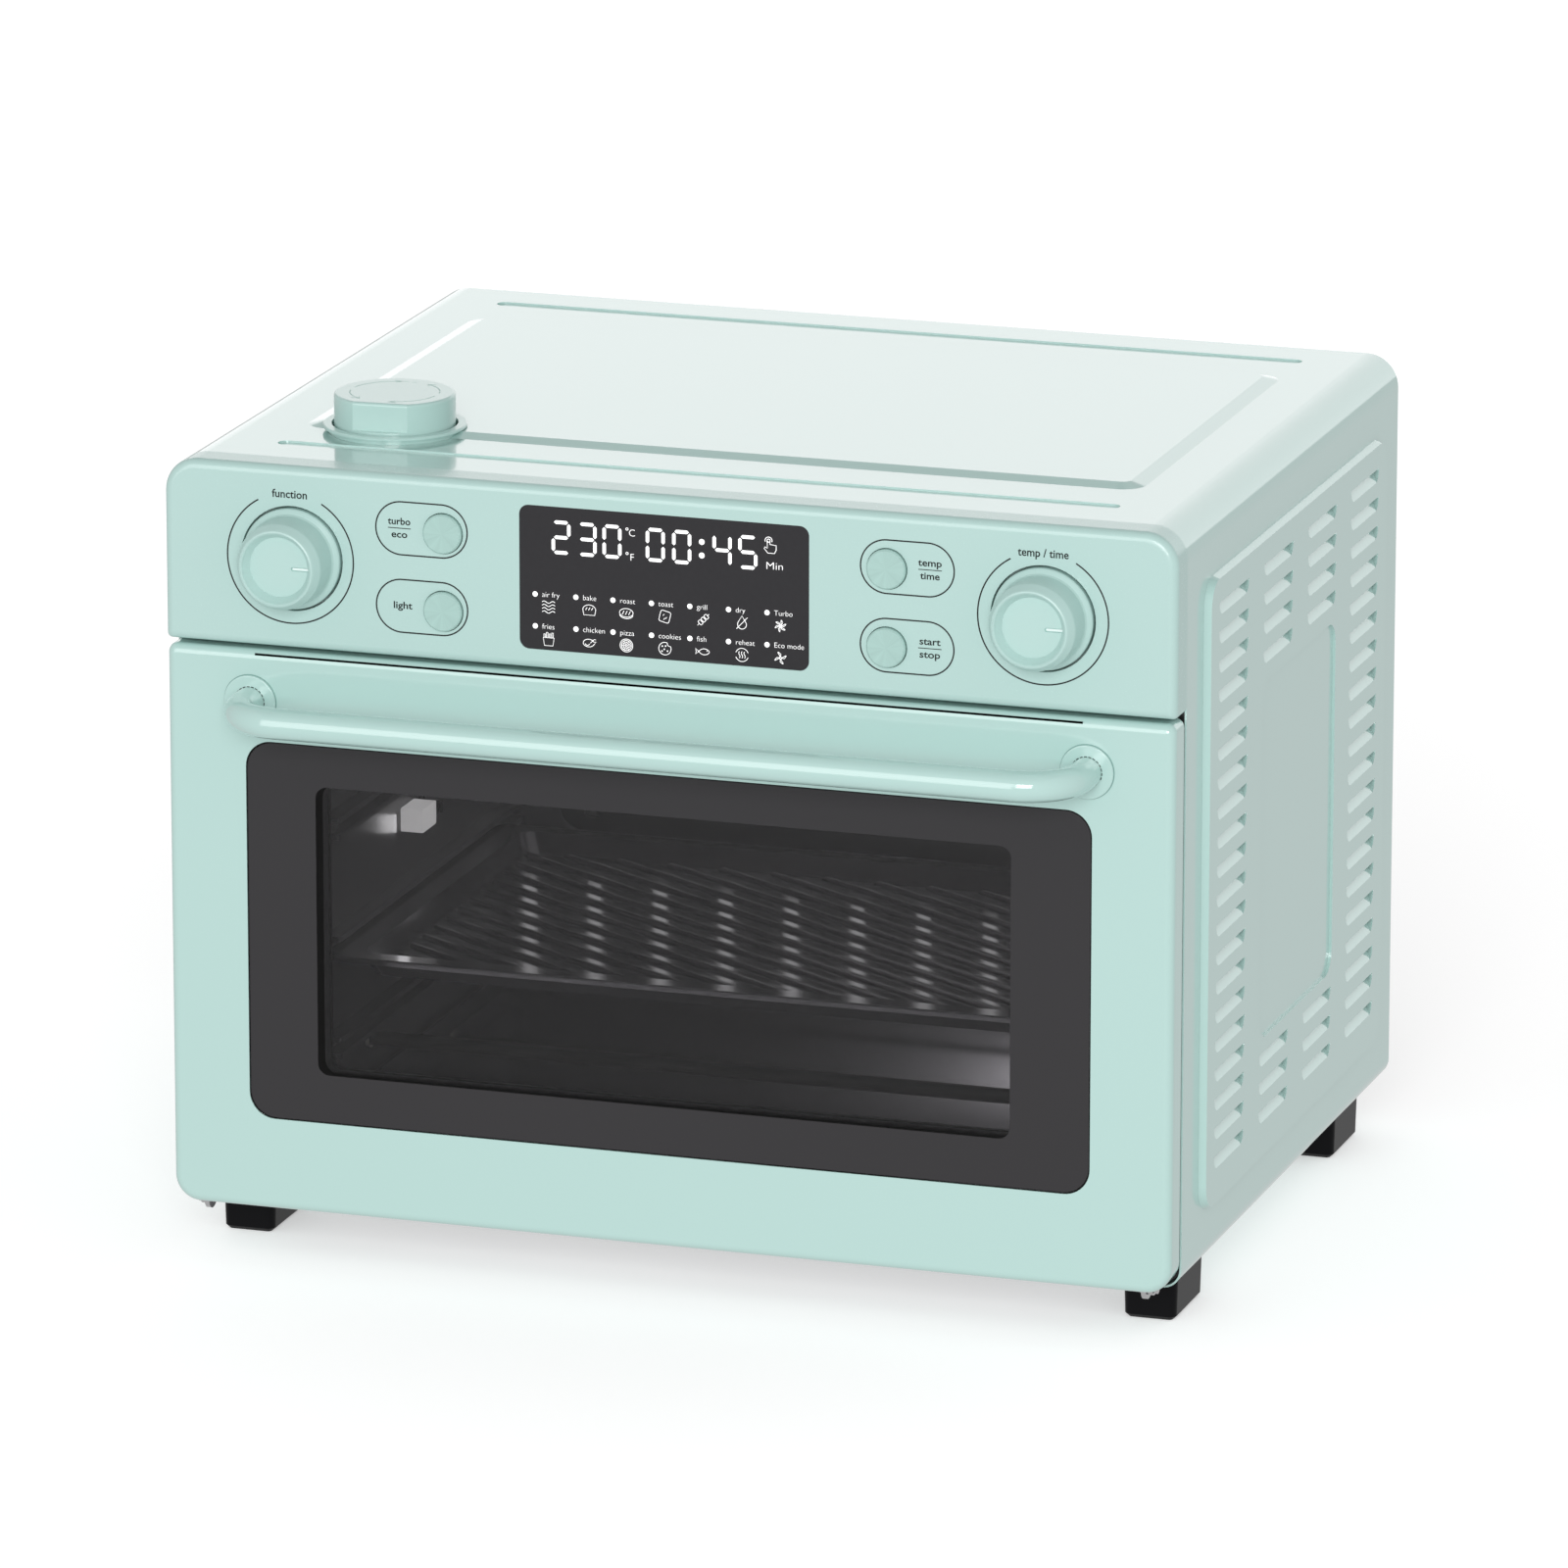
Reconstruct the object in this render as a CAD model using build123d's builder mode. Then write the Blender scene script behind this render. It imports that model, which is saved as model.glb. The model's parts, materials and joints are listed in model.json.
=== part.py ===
from build123d import *
import os
from math import atan2, cos, degrees, radians, sin

os.makedirs("parts", exist_ok=True)

# Counter-top toaster oven: sheet-steel body, drop-down glass door, control fascia and vent dial.
# Depths (y) are counted back from the face of the door, heights (z) up from its lower edge.
# The helpers below turn them into the part frame: origin under the middle, feet on z = 0.

# ---- body ----
half_w = 215.0
skin = 0.8
y_skin = 15.3
y_back = 334.45
z_low = -1.5
z_top = 315.95
r_top = 14.0
r_low = 8.0
foot_drop = 22.5
z_floor = z_low + skin
floor_t = 0.8
y_handle = -36.9
y_mid = (y_back + y_handle) / 2
side_raise = 2.9
top_raise = 1.6
louvre_pitch_y = 66.4
louvre_pitch_z = 12.24
louvre_y = 51.75
louvre_z = 38.3

# ---- front ----
fascia_z = 239.73
door_half = 214.6
door_z = (-0.3, 237.8)
door_deep = 13.5
glass_x = 180.48
glass_z = (38.96, 199.52)
window_x = 148.5
window_z = (59.5, 183.0)
handle_z = 216.0
handle_x = 178.3
handle_out = 30.5
handle_r = 6.4
handle_bend = 22.0
knob_at = (159.5, 277.6)
knob_well = 22.0
button_at = {
    "upper_left": (-94.2, 293.05),
    "lower_left": (-94.2, 260.65),
    "upper_right": (94.2, 293.05),
    "lower_right": (94.2, 260.65),
}
hinge_y = 10.0
hinge_z = 0.0
dial_at = (-141.6, 74.9)

# ---- inside ----
cav_x = 168.0
cav_z = (26.0, 226.0)
cav_back = 292.0
sheet = 0.8
rail_mid = (54.0, 97.5, 148.5)
rail_gap = 3.5
fan_z = 150.0


def level(z):
    """Plane seen from above at height z; its own coordinates are x and depth."""
    return Plane(origin=(0, -y_mid, foot_drop + z), x_dir=(1, 0, 0), z_dir=(0, 0, 1))


def front(y):
    """Plane seen from the front at depth y; extruding it comes forward."""
    return Plane(origin=(0, y - y_mid, foot_drop), x_dir=(1, 0, 0), z_dir=(0, -1, 0))


def side(x):
    """Plane seen from the right at x; its own coordinates are depth and height."""
    return Plane(origin=(x, -y_mid, foot_drop), x_dir=(0, 1, 0), z_dir=(1, 0, 0))


def panel(u0, u1, v0, v1, plane, r=0.0):
    """Rounded rectangle between two corners on a plane."""
    with BuildSketch(plane) as s:
        with Locations(((u0 + u1) / 2, (v0 + v1) / 2)):
            if r > 0:
                RectangleRounded(u1 - u0, v1 - v0, r)
            else:
                Rectangle(u1 - u0, v1 - v0)
    return s.sketch


def sheet_y(y0, y1, x0, x1, z0, z1, r=0.0, mode=Mode.ADD):
    """Plate standing across the oven from depth y0 to y1."""
    extrude(panel(x0, x1, z0, z1, front(y1), r), amount=y1 - y0, mode=mode)


def sheet_z(z0, z1, x0, x1, y0, y1, r=0.0, mode=Mode.ADD):
    """Plate lying flat from height z0 to z1."""
    extrude(panel(x0, x1, y0, y1, level(z0), r), amount=z1 - z0, mode=mode)


def sheet_x(x0, x1, y0, y1, z0, z1, r=0.0, mode=Mode.ADD):
    """Plate standing fore and aft from x0 to x1."""
    extrude(panel(y0, y1, z0, z1, side(x0), r), amount=x1 - x0, mode=mode)


def rod_y(y0, y1, x, z, r, mode=Mode.ADD):
    with BuildSketch(front(y1)) as s:
        with Locations((x, z)):
            Circle(r)
    extrude(s.sketch, amount=y1 - y0, mode=mode)


def rod_z(z0, z1, x, y, r, mode=Mode.ADD):
    with BuildSketch(level(z0)) as s:
        with Locations((x, y)):
            Circle(r)
    extrude(s.sketch, amount=z1 - z0, mode=mode)


def rod_x(x0, x1, y, z, r, mode=Mode.ADD):
    with BuildSketch(side(x0)) as s:
        with Locations((y, z)):
            Circle(r)
    extrude(s.sketch, amount=x1 - x0, mode=mode)


def body_outline(plane, inset, z0=z_low, r0=r_low):
    """Front outline of the body, soft top corners and smaller lower ones."""
    with BuildSketch(plane) as s:
        with Locations((0, (z_top + z0) / 2)):
            Rectangle(2 * (half_w - inset), z_top - z0 - 2 * inset)
        fillet(s.vertices().group_by(Axis.Y)[-1], r_top - inset)
        fillet(s.vertices().group_by(Axis.Y)[0], max(r0 - inset, 0.4))
    return s.sketch


def turned(points, x, z):
    """Solid of revolution about a fore-and-aft axis from (radius, depth) points."""
    spin = Plane(origin=(x, -y_mid, foot_drop + z), x_dir=(1, 0, 0), z_dir=(0, 0, 1))
    with BuildSketch(spin) as s:
        with BuildLine():
            Polyline(*points, close=True)
        make_face()
    axis = Axis((x, 0, foot_drop + z), (0, 1, 0))
    revolve(s.sketch, axis=axis, revolution_arc=360)


# ---------------------------------------------------------------- louvres
# One scoop, drawn at the outer face of a right-hand wall: x inward is negative.
scoop_w = 43.1
scoop_h = 5.45
scoop_in = 4.2


def scoop_outline(grow):
    with BuildSketch(Plane.YZ.offset(0.4)) as s:
        with BuildLine():
            a = (-grow, scoop_h)
            b = (4.1, -grow)
            c = (scoop_w - 4.1, -grow)
            d = (scoop_w + grow, scoop_h)
            ThreePointArc(a, (1.2 - 0.7 * grow, 1.6 - 0.7 * grow), b)
            Line(b, c)
            ThreePointArc(c, (scoop_w - 1.2 + 0.7 * grow, 1.6 - 0.7 * grow), d)
            Line(d, a)
        make_face()
    return s.sketch


def scoop_wedge(points):
    with BuildSketch(Plane.XZ.offset(-scoop_w - 5)) as s:
        with BuildLine():
            Polyline(*points, close=True)
        make_face()
    return s.sketch


with BuildPart(mode=Mode.PRIVATE) as scoop_cut:
    extrude(scoop_outline(0.0), amount=-7)
    rise = scoop_h / scoop_in
    wedge = scoop_wedge([(0.5, -0.5 * rise), (-scoop_in, scoop_h), (0.5, scoop_h)])
    extrude(wedge, amount=scoop_w + 10, mode=Mode.INTERSECT)

with BuildPart(mode=Mode.PRIVATE) as scoop_lip:
    extrude(scoop_outline(1.0), amount=-7)
    wedge = scoop_wedge([(-0.5, -1.0), (-scoop_in - 1.25, scoop_h), (-0.5, scoop_h)])
    extrude(wedge, amount=scoop_w + 10, mode=Mode.INTERSECT)

louvre_spots = []
for column in range(4):
    for row in range(20):
        if column in (0, 3) or row < 3 or row > 15:
            y = louvre_y + column * louvre_pitch_y - y_mid
            z = louvre_z + row * louvre_pitch_z + foot_drop
            louvre_spots.append((half_w + side_raise, y, z))

# ---------------------------------------------------------------- outer shell
with BuildPart() as outer_shell:
    extrude(body_outline(front(y_back), 0), amount=y_back - y_skin)
    extrude(body_outline(front(y_back), skin), amount=y_back - y_skin, mode=Mode.SUBTRACT)
    sheet_z(z_low - 1, z_low + skin + 1, -180, 180, y_skin, y_back, 0, Mode.SUBTRACT)
    # raised panel and two grooves pressed into the top
    for drop, mode in ((0.0, Mode.ADD), (skin, Mode.SUBTRACT)):
        low = panel(-179.5, 179.5, 67.5, 281.6, level(z_top - drop), 10)
        high = panel(-173, 173, 74, 275.1, level(z_top + top_raise - drop), 3.6)
        loft([low, high], ruled=True, mode=mode)
    for y in (39.25, 309.65):
        sheet_z(z_top - 2 * skin, z_top - skin, -181, 181, y - 5, y + 5, 4.9)
        sheet_z(z_top - skin, z_top + 1, -179.5, 179.5, y - 3.65, y + 3.65, 3.6, Mode.SUBTRACT)
    # raised louvre panel on each side with a plain recess in its middle
    for s in (-1, 1):
        for drop, mode in ((0.0, Mode.ADD), (skin, Mode.SUBTRACT)):
            low = panel(39.3, 308.5, 22.3, 287.5, side(s * (half_w - drop)), 12)
            high = panel(40.5, 307.3, 23.5, 286.3, side(s * (half_w + side_raise - drop)), 10.8)
            loft([low, high], ruled=True, mode=mode)
        mid = s * (half_w + side_raise - skin)
        extrude(panel(116.2, 229.9, 73.3, 227.7, side(mid), 11), amount=-s * 1.6)
        extrude(
            panel(117.4, 228.7, 74.5, 226.5, side(mid - s * 0.4), 10),
            amount=s * 4,
            mode=Mode.SUBTRACT,
        )
    with Locations(*louvre_spots):
        add(scoop_lip.part)
    with Locations(*[(-x, y, z) for x, y, z in louvre_spots]):
        add(scoop_lip.part.mirror(Plane.YZ))
    with Locations(*louvre_spots):
        add(scoop_cut.part, mode=Mode.SUBTRACT)
    with Locations(*[(-x, y, z) for x, y, z in louvre_spots]):
        add(scoop_cut.part.mirror(Plane.YZ), mode=Mode.SUBTRACT)
    rod_z(z_top - 4, z_top + 4, dial_at[0], dial_at[1], 27.9, Mode.SUBTRACT)
    for x in (-195.5, 195.5):
        for y in (56.25, 295.7):
            rod_z(z_low - 1, z_low + 2, x, y, 2.3, Mode.SUBTRACT)

# ---------------------------------------------------------------- floor, feet, back
with BuildPart() as base_plate:
    sheet_z(z_floor, z_floor + floor_t, -206.5, 206.5, 18.2, 330.45, 2)
    sheet_y(18.2, 19.0, -206.5, 206.5, z_floor, 10)
    sheet_y(329.65, 330.45, -206.5, 206.5, z_floor, 14)
    for x in range(-150, 151, 20):
        for y in (90, 150, 210, 270):
            sheet_z(-1, 2, x - 4, x + 4, y - 18, y + 18, 3.9, Mode.SUBTRACT)
    for x in (-195.5, 195.5):
        for y in (56.25, 295.7):
            rod_z(-1, 2, x, y, 2.0, Mode.SUBTRACT)
    for s in (-1, 1):
        sheet_y(18, 20, s * 202 - 3, s * 202 + 3, z_floor + floor_t, 11, 0, Mode.SUBTRACT)
    for x in (-150, -50, 50, 150):
        rod_y(328, 331, x, 8, 1.5, Mode.SUBTRACT)


def foot_block(x, y):
    top = panel(x - 11.5, x + 11.5, y - 20.75, y + 20.75, level(z_low), 4)
    low = panel(x - 10.9, x + 10.9, y - 20.1, y + 20.1, level(-foot_drop), 3.4)
    loft([top, low], ruled=True)


with BuildPart() as foot_front_left:
    foot_block(-195.5, 56.25)
    chamfer(foot_front_left.faces().sort_by(Axis.Z)[0].edges(), 1.6)
    rod_z(-30, 0, -195.5, 56.25, 2.3, Mode.SUBTRACT)
    rod_z(-30, -12.5, -195.5, 56.25, 4.8, Mode.SUBTRACT)

with BuildPart() as foot_front_right:
    foot_block(195.5, 56.25)
    chamfer(foot_front_right.faces().sort_by(Axis.Z)[0].edges(), 1.6)
    rod_z(-30, 0, 195.5, 56.25, 2.3, Mode.SUBTRACT)
    rod_z(-30, -12.5, 195.5, 56.25, 4.8, Mode.SUBTRACT)

with BuildPart() as foot_rear_left:
    foot_block(-195.5, 295.7)
    chamfer(foot_rear_left.faces().sort_by(Axis.Z)[0].edges(), 1.6)
    rod_z(-30, 0, -195.5, 295.7, 2.3, Mode.SUBTRACT)
    rod_z(-30, -12.5, -195.5, 295.7, 4.8, Mode.SUBTRACT)

with BuildPart() as foot_rear_right:
    foot_block(195.5, 295.7)
    chamfer(foot_rear_right.faces().sort_by(Axis.Z)[0].edges(), 1.6)
    rod_z(-30, 0, 195.5, 295.7, 2.3, Mode.SUBTRACT)
    rod_z(-30, -12.5, 195.5, 295.7, 4.8, Mode.SUBTRACT)

with BuildPart() as foot_screws:
    for x in (-195.5, 195.5):
        for y in (56.25, 295.7):
            rod_z(-12.5, 5, x, y, 2.0)
            rod_z(-15.5, -12.5, x, y, 4.2)
            sheet_z(-16, -14.6, x - 3, x + 3, y - 0.5, y + 0.5, 0, Mode.SUBTRACT)
            sheet_z(-16, -14.6, x - 0.5, x + 0.5, y - 3, y + 3, 0, Mode.SUBTRACT)

with BuildPart() as rear_panel:
    extrude(body_outline(front(331.25), skin + 0.2, 0.0, 6), amount=0.8)
    for z in range(60, 281, 12):
        for x in (-140, -70, 0, 70, 140):
            sheet_y(330, 332, x - 24, x + 24, z - 2, z + 2, 1.9, Mode.SUBTRACT)
    rod_y(330, 332, 175, 32, 8.0, Mode.SUBTRACT)
    for x in (-150, -50, 50, 150):
        rod_y(330, 332, x, 8, 1.7, Mode.SUBTRACT)

with BuildPart() as rear_screws:
    for x in (-150, -50, 50, 150):
        rod_y(324, 331.25, x, 8, 1.5)
        rod_y(331.25, 333.0, x, 8, 3.0)
        sheet_y(332.3, 334, x - 2.2, x + 2.2, 7.6, 8.4, 0, Mode.SUBTRACT)
        sheet_y(332.3, 334, x - 0.4, x + 0.4, 5.8, 10.2, 0, Mode.SUBTRACT)

with BuildPart() as cord_gland:
    rod_y(331.25, 333.6, 175, 32, 10.5)
    rod_y(326, 331.25, 175, 32, 8.0)
    rod_y(326, 330.45, 175, 32, 8.8)
    rod_y(325, 335, 175, 32, 4.0, Mode.SUBTRACT)

# ---------------------------------------------------------------- control fascia
with BuildPart() as control_fascia:
    extrude(body_outline(front(y_skin), 0, fascia_z, 2.0), amount=y_skin)
    fillet(control_fascia.faces().sort_by(Axis.Y)[0].edges(), 3.6)
    extrude(body_outline(front(y_skin), 2.2, fascia_z, 3.0), amount=y_skin - 2.5, mode=Mode.SUBTRACT)
    for s in (-1, 1):
        rod_y(2.5, 10.5, s * knob_at[0], knob_at[1], knob_well + 2)
        rod_y(-1, 8.5, s * knob_at[0], knob_at[1], knob_well, Mode.SUBTRACT)
        rod_y(8, 11, s * knob_at[0], knob_at[1], 4.6, Mode.SUBTRACT)
    for x, z in button_at.values():
        rod_y(2.5, 8.0, x, z, 12.0)
        rod_y(2.5, 8.0, x, z, 10.6, Mode.SUBTRACT)
        rod_y(-1, 3, x, z, 8.6, Mode.SUBTRACT)
    sheet_y(2.5, 5.0, -64.5, 64.5, 244.9, 310.9, 5)
    sheet_y(-1, 2.2, -61.55, 61.55, 247.94, 307.89, 4.1, Mode.SUBTRACT)
    sheet_y(-1, 6, -58.9, 58.9, 250.6, 305.2, 2.5, Mode.SUBTRACT)
    for x in (-129, -71, 71, 129):
        for z in (250, 306):
            rod_y(2.5, 9.5, x, z, 2.6)
            rod_y(5, 9.6, x, z, 1.0, Mode.SUBTRACT)

with BuildPart() as display_lens:
    sheet_y(0.4, 2.2, -61.45, 61.45, 248.04, 307.79, 4)

with BuildPart() as display_module:
    sheet_y(2.6, 9.5, -57, 57, 252.5, 303.5, 1.5)
    sheet_y(2.5, 3.0, -50, 50, 258, 298, 0, Mode.SUBTRACT)

with BuildPart() as control_board:
    sheet_y(9.5, 11.1, -133, 133, 246.5, 309.3, 2)
    for x in (-129, -71, 71, 129):
        for z in (250, 306):
            rod_y(9, 12, x, z, 1.2, Mode.SUBTRACT)
    for x in (-40, 0, 40):
        sheet_y(11.1, 16.0, x - 9, x + 9, 262, 270)
    for x in (-60, -20, 25, 62):
        sheet_y(11.1, 13.2, x - 6, x + 6, 284, 296)

with BuildPart() as tact_switches:
    for x, z in button_at.values():
        sheet_y(6.4, 9.5, x - 3.1, x + 3.1, z - 3.1, z + 3.1, 0.5)
        rod_y(5.6, 6.4, x, z, 1.7)


def encoder_body(x, z):
    sheet_y(10.5, 17.5, x - 6.6, x + 6.6, z - 6.6, z + 6.6, 1)
    rod_y(6.2, 10.5, x, z, 4.5)
    rod_y(6, 16.6, x, z, 3.05, Mode.SUBTRACT)
    for k in (-2.5, 0, 2.5):
        sheet_y(12.5, 13.3, x + k - 0.4, x + k + 0.4, z - 10.5, z - 6.6)


with BuildPart() as encoder_left:
    encoder_body(-knob_at[0], knob_at[1])

with BuildPart() as encoder_right:
    encoder_body(knob_at[0], knob_at[1])


def encoder_stem(x, z):
    rod_y(-12, 16.2, x, z, 3.0)
    sheet_y(-12.5, 0, x - 3.5, x + 3.5, z + 2.2, z + 3.5, 0, Mode.SUBTRACT)


with BuildPart() as encoder_shaft_left:
    encoder_stem(-knob_at[0], knob_at[1])

with BuildPart() as encoder_shaft_right:
    encoder_stem(knob_at[0], knob_at[1])


def knob_body(x, z):
    """Turned knob: foot ring, grip, rolled rim and dished face with a pointer groove."""
    turned(
        [
            (0, -15.4), (12.4, -15.4), (14.2, -18.3), (14.6, -19.1), (15.2, -19.55),
            (15.8, -19.3), (16.3, -18.6), (17.9, -15.7), (18.1, -14.8), (18.5, -3.4),
            (19.0, -2.5), (20.6, -1.5), (21.0, -0.9), (21.0, 2.5), (19.0, 2.5), (19.0, 0.2),
            (16.2, 0.2), (16.2, -13.2), (6.0, -13.2), (6.0, 1.5), (0, 1.5),
        ],
        x, z,
    )
    rod_y(-12, 2, x, z, 3.0, Mode.SUBTRACT)
    sheet_y(-12, 0, x - 3, x + 3, z + 2.2, z + 3.2, 0)
    sheet_y(-20, -14.7, x + 5.3, x + 13.2, z - 1.2, z + 0.5, 0.7, Mode.SUBTRACT)


with BuildPart() as knob_function:
    knob_body(-knob_at[0], knob_at[1])

with BuildPart() as knob_temperature:
    knob_body(knob_at[0], knob_at[1])


def push_button(x, z):
    turned(
        [
            (0, -1.9), (7.6, -1.9), (8.2, -1.3), (8.2, 2.9), (10.0, 2.9), (10.0, 3.7),
            (2.4, 3.7), (2.4, 4.2), (0, 4.2),
        ],
        x, z,
    )


with BuildPart() as button_upper_left:
    push_button(*button_at["upper_left"])

with BuildPart() as button_lower_left:
    push_button(*button_at["lower_left"])

with BuildPart() as button_upper_right:
    push_button(*button_at["upper_right"])

with BuildPart() as button_lower_right:
    push_button(*button_at["lower_right"])

# ---------------------------------------------------------------- front frame and cavity
with BuildPart() as front_frame:
    extrude(body_outline(front(18.2), skin + 0.2, 0.0, 6.8), amount=1.2)
    sheet_y(16, 19, -166, 166, 27.2, 224.8, 6, Mode.SUBTRACT)
    sheet_y(16, 19, -205, 205, 247, 309, 8, Mode.SUBTRACT)
    for s in (-1, 1):
        sheet_y(16, 19, s * 202 - 2.5, s * 202 + 2.5, -1, 9, 0, Mode.SUBTRACT)

with BuildPart() as cavity_liner:
    sheet_y(18.2, cav_back + sheet, -cav_x - sheet, cav_x + sheet, cav_z[0] - sheet, cav_z[1] + sheet, 5)
    sheet_y(18.2, 18.2 + sheet, -180, 180, 14, 238, 8)
    sheet_y(18, cav_back, -cav_x, cav_x, cav_z[0], cav_z[1], 4, Mode.SUBTRACT)
    for s in (-1, 1):
        for mid in rail_mid:
            for z in (mid - rail_gap, mid + rail_gap):
                x0, x1 = sorted((s * 161, s * (cav_x + 0.5)))
                sheet_z(z - 1.2, z + 1.2, x0, x1, 58, 289, 1.2)
        with BuildSketch(side(s * 168.5)) as hook:
            with BuildLine():
                Polyline((66, 153.2), (58, 151), (53, 146), (51.5, 139), (55, 136), (66, 143.8), close=True)
            make_face()
        extrude(hook.sketch, amount=-s * 4)
    rod_y(280, 300, 0, fan_z, 66, Mode.SUBTRACT)
    rod_z(225, 228, dial_at[0], dial_at[1], 18.8, Mode.SUBTRACT)
    for s in (-1, 1):
        for y, z in ((95, 208), (215, 208), (110, 44), (215, 44)):
            x0, x1 = sorted((s * 160, s * 172))
            rod_x(x0, x1, y, z, 4.3, Mode.SUBTRACT)
    sheet_x(-172, -166, 151.8, 169.8, 122.4, 132.8, 1, Mode.SUBTRACT)
    rod_x(-172, -166, 176, 128, 2.0, Mode.SUBTRACT)
    for x in (-171, 166):
        for y in range(194, 251, 8):
            sheet_x(x, x + 5, y - 2, y + 2, 168, 196, 1.9, Mode.SUBTRACT)

with BuildPart() as heat_shield:
    sheet_z(240, 240.8, -206, 206, 18.2, 326, 3)
    sheet_y(18.2, 19.0, -206, 206, 240, 246.5)
    rod_z(239, 242, dial_at[0], dial_at[1], 20.4, Mode.SUBTRACT)
    for x in (-196, 196):
        for y in (60, 130, 200, 270):
            sheet_z(239, 242, x - 4, x + 4, y - 15, y + 15, 3.9, Mode.SUBTRACT)

with BuildPart() as insulation_blanket:
    sheet_z(cav_z[1] + sheet, 240, -164, 164, 24, 290, 8)
    rod_z(226, 241, dial_at[0], dial_at[1], 24.4, Mode.SUBTRACT)

with BuildPart() as power_board:
    sheet_z(249, 250.6, 20, 170, 110, 230, 2)
    for x in (26, 164):
        for y in (116, 224):
            rod_z(240.8, 249, x, y, 3)
    sheet_z(250.6, 278, 32, 68, 120, 152, 1)
    sheet_z(250.6, 268, 84, 104, 120, 148, 1)
    sheet_z(250.6, 268, 112, 132, 120, 148, 1)
    sheet_z(250.6, 264, 140, 162, 122, 146, 1)
    for x in (40, 58, 76):
        rod_z(250.6, 268, x, 190, 6)
    sheet_z(250.6, 274, 96, 160, 176, 180, 0)

# ---------------------------------------------------------------- heaters, lamp, sensor, fan
with BuildPart() as upper_heaters:
    for y in (95, 215):
        rod_x(-177, 177, y, 208, 3.2)
        rod_x(-184, 184, y, 208, 1.3)

with BuildPart() as lower_heaters:
    for y in (110, 215):
        rod_x(-177, 177, y, 44, 3.2)
        rod_x(-184, 184, y, 44, 1.3)

with BuildPart() as heater_insulators:
    for s in (-1, 1):
        for y, z in ((95, 208), (215, 208), (110, 44), (215, 44)):
            a0, a1 = sorted((s * 166.5, s * (cav_x + sheet)))
            b0, b1 = sorted((s * (cav_x + sheet), s * 176.5))
            rod_x(a0, a1, y, z, 4.2)
            rod_x(b0, b1, y, z, 6.5)
            rod_x(min(a0, b0) - 1, max(a1, b1) + 1, y, z, 3.2, Mode.SUBTRACT)

# arc-shaped slots round the fan, broken by radial bridges
with BuildSketch(front(290)) as guard_slots:
    for k in range(12):
        with Locations((0, fan_z)):
            Circle(21.5 + 11 * k)
            Circle(16.0 + 11 * k, mode=Mode.SUBTRACT)
    with Locations((0, fan_z)):
        with PolarLocations(0, 6, 30):
            Rectangle(400, 7, mode=Mode.SUBTRACT)
    with Locations((0, fan_z)):
        Rectangle(276, 106, mode=Mode.INTERSECT)

with BuildPart() as fan_guard:
    sheet_y(288, cav_back, -144, 144, 91, 209, 10)
    sheet_y(288.8, cav_back + 1, -143.2, 143.2, 91.8, 208.2, 9.2, Mode.SUBTRACT)
    extrude(guard_slots.sketch, amount=3, mode=Mode.SUBTRACT)

with BuildPart() as fan_housing:
    rod_y(cav_back + sheet, 305.5, 0, fan_z, 75)
    rod_y(cav_back + sheet, 294, 0, fan_z, 82)
    rod_y(292, 304.5, 0, fan_z, 74, Mode.SUBTRACT)
    rod_y(300, 310, 0, fan_z, 6, Mode.SUBTRACT)

with BuildPart() as fan:
    rod_y(301.8, 303, 0, fan_z, 62)
    with BuildSketch(front(302)) as vanes:
        with Locations((0, fan_z)):
            with PolarLocations(0, 12):
                with Locations((38, 0)):
                    Rectangle(46, 1.4)
    extrude(vanes.sketch, amount=7.5)
    rod_y(294.5, 303, 0, fan_z, 12)
    rod_y(293.5, 318, 0, fan_z, 2.5)

with BuildPart() as fan_motor:
    rod_y(307.2, 327, 0, fan_z, 28)
    sheet_y(305.5, 307.2, -42, 42, fan_z - 12, fan_z + 12, 6)
    rod_y(304, 320, 0, fan_z, 2.55, Mode.SUBTRACT)
    for x in (-36, 36):
        rod_y(305, 308, x, fan_z, 2.0, Mode.SUBTRACT)

with BuildPart() as lamp_housing:
    sheet_x(-192, -cav_x - sheet, 147, 172.6, 117.5, 137.7, 2)
    sheet_x(-188, -168, 151.6, 170.0, 122.2, 133.0, 1, Mode.SUBTRACT)
    sheet_x(-192, -170, 158.5, 163.1, 125.3, 129.9, 0)

with BuildPart() as lamp_lens:
    sheet_x(-169, -158.5, 151.9, 169.7, 122.5, 132.7, 1)
    sheet_x(-170, -160.5, 153.9, 167.7, 124.5, 130.7, 0.5, Mode.SUBTRACT)
    sheet_x(-170, -169, 151.9, 169.7, 122.5, 132.7, 1)
    sheet_x(-171, -168, 153.9, 167.7, 124.5, 130.7, 0.5, Mode.SUBTRACT)

with BuildPart() as temperature_probe:
    rod_x(-184, -162, 176, 128, 1.9)
    rod_x(-168, -167, 176, 128, 4.5)
    rod_x(-162, -158.5, 176, 128, 2.8)
    sheet_x(-183, -cav_x - sheet, 173.2, 178.8, 125.2, 130.8, 1)

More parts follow.
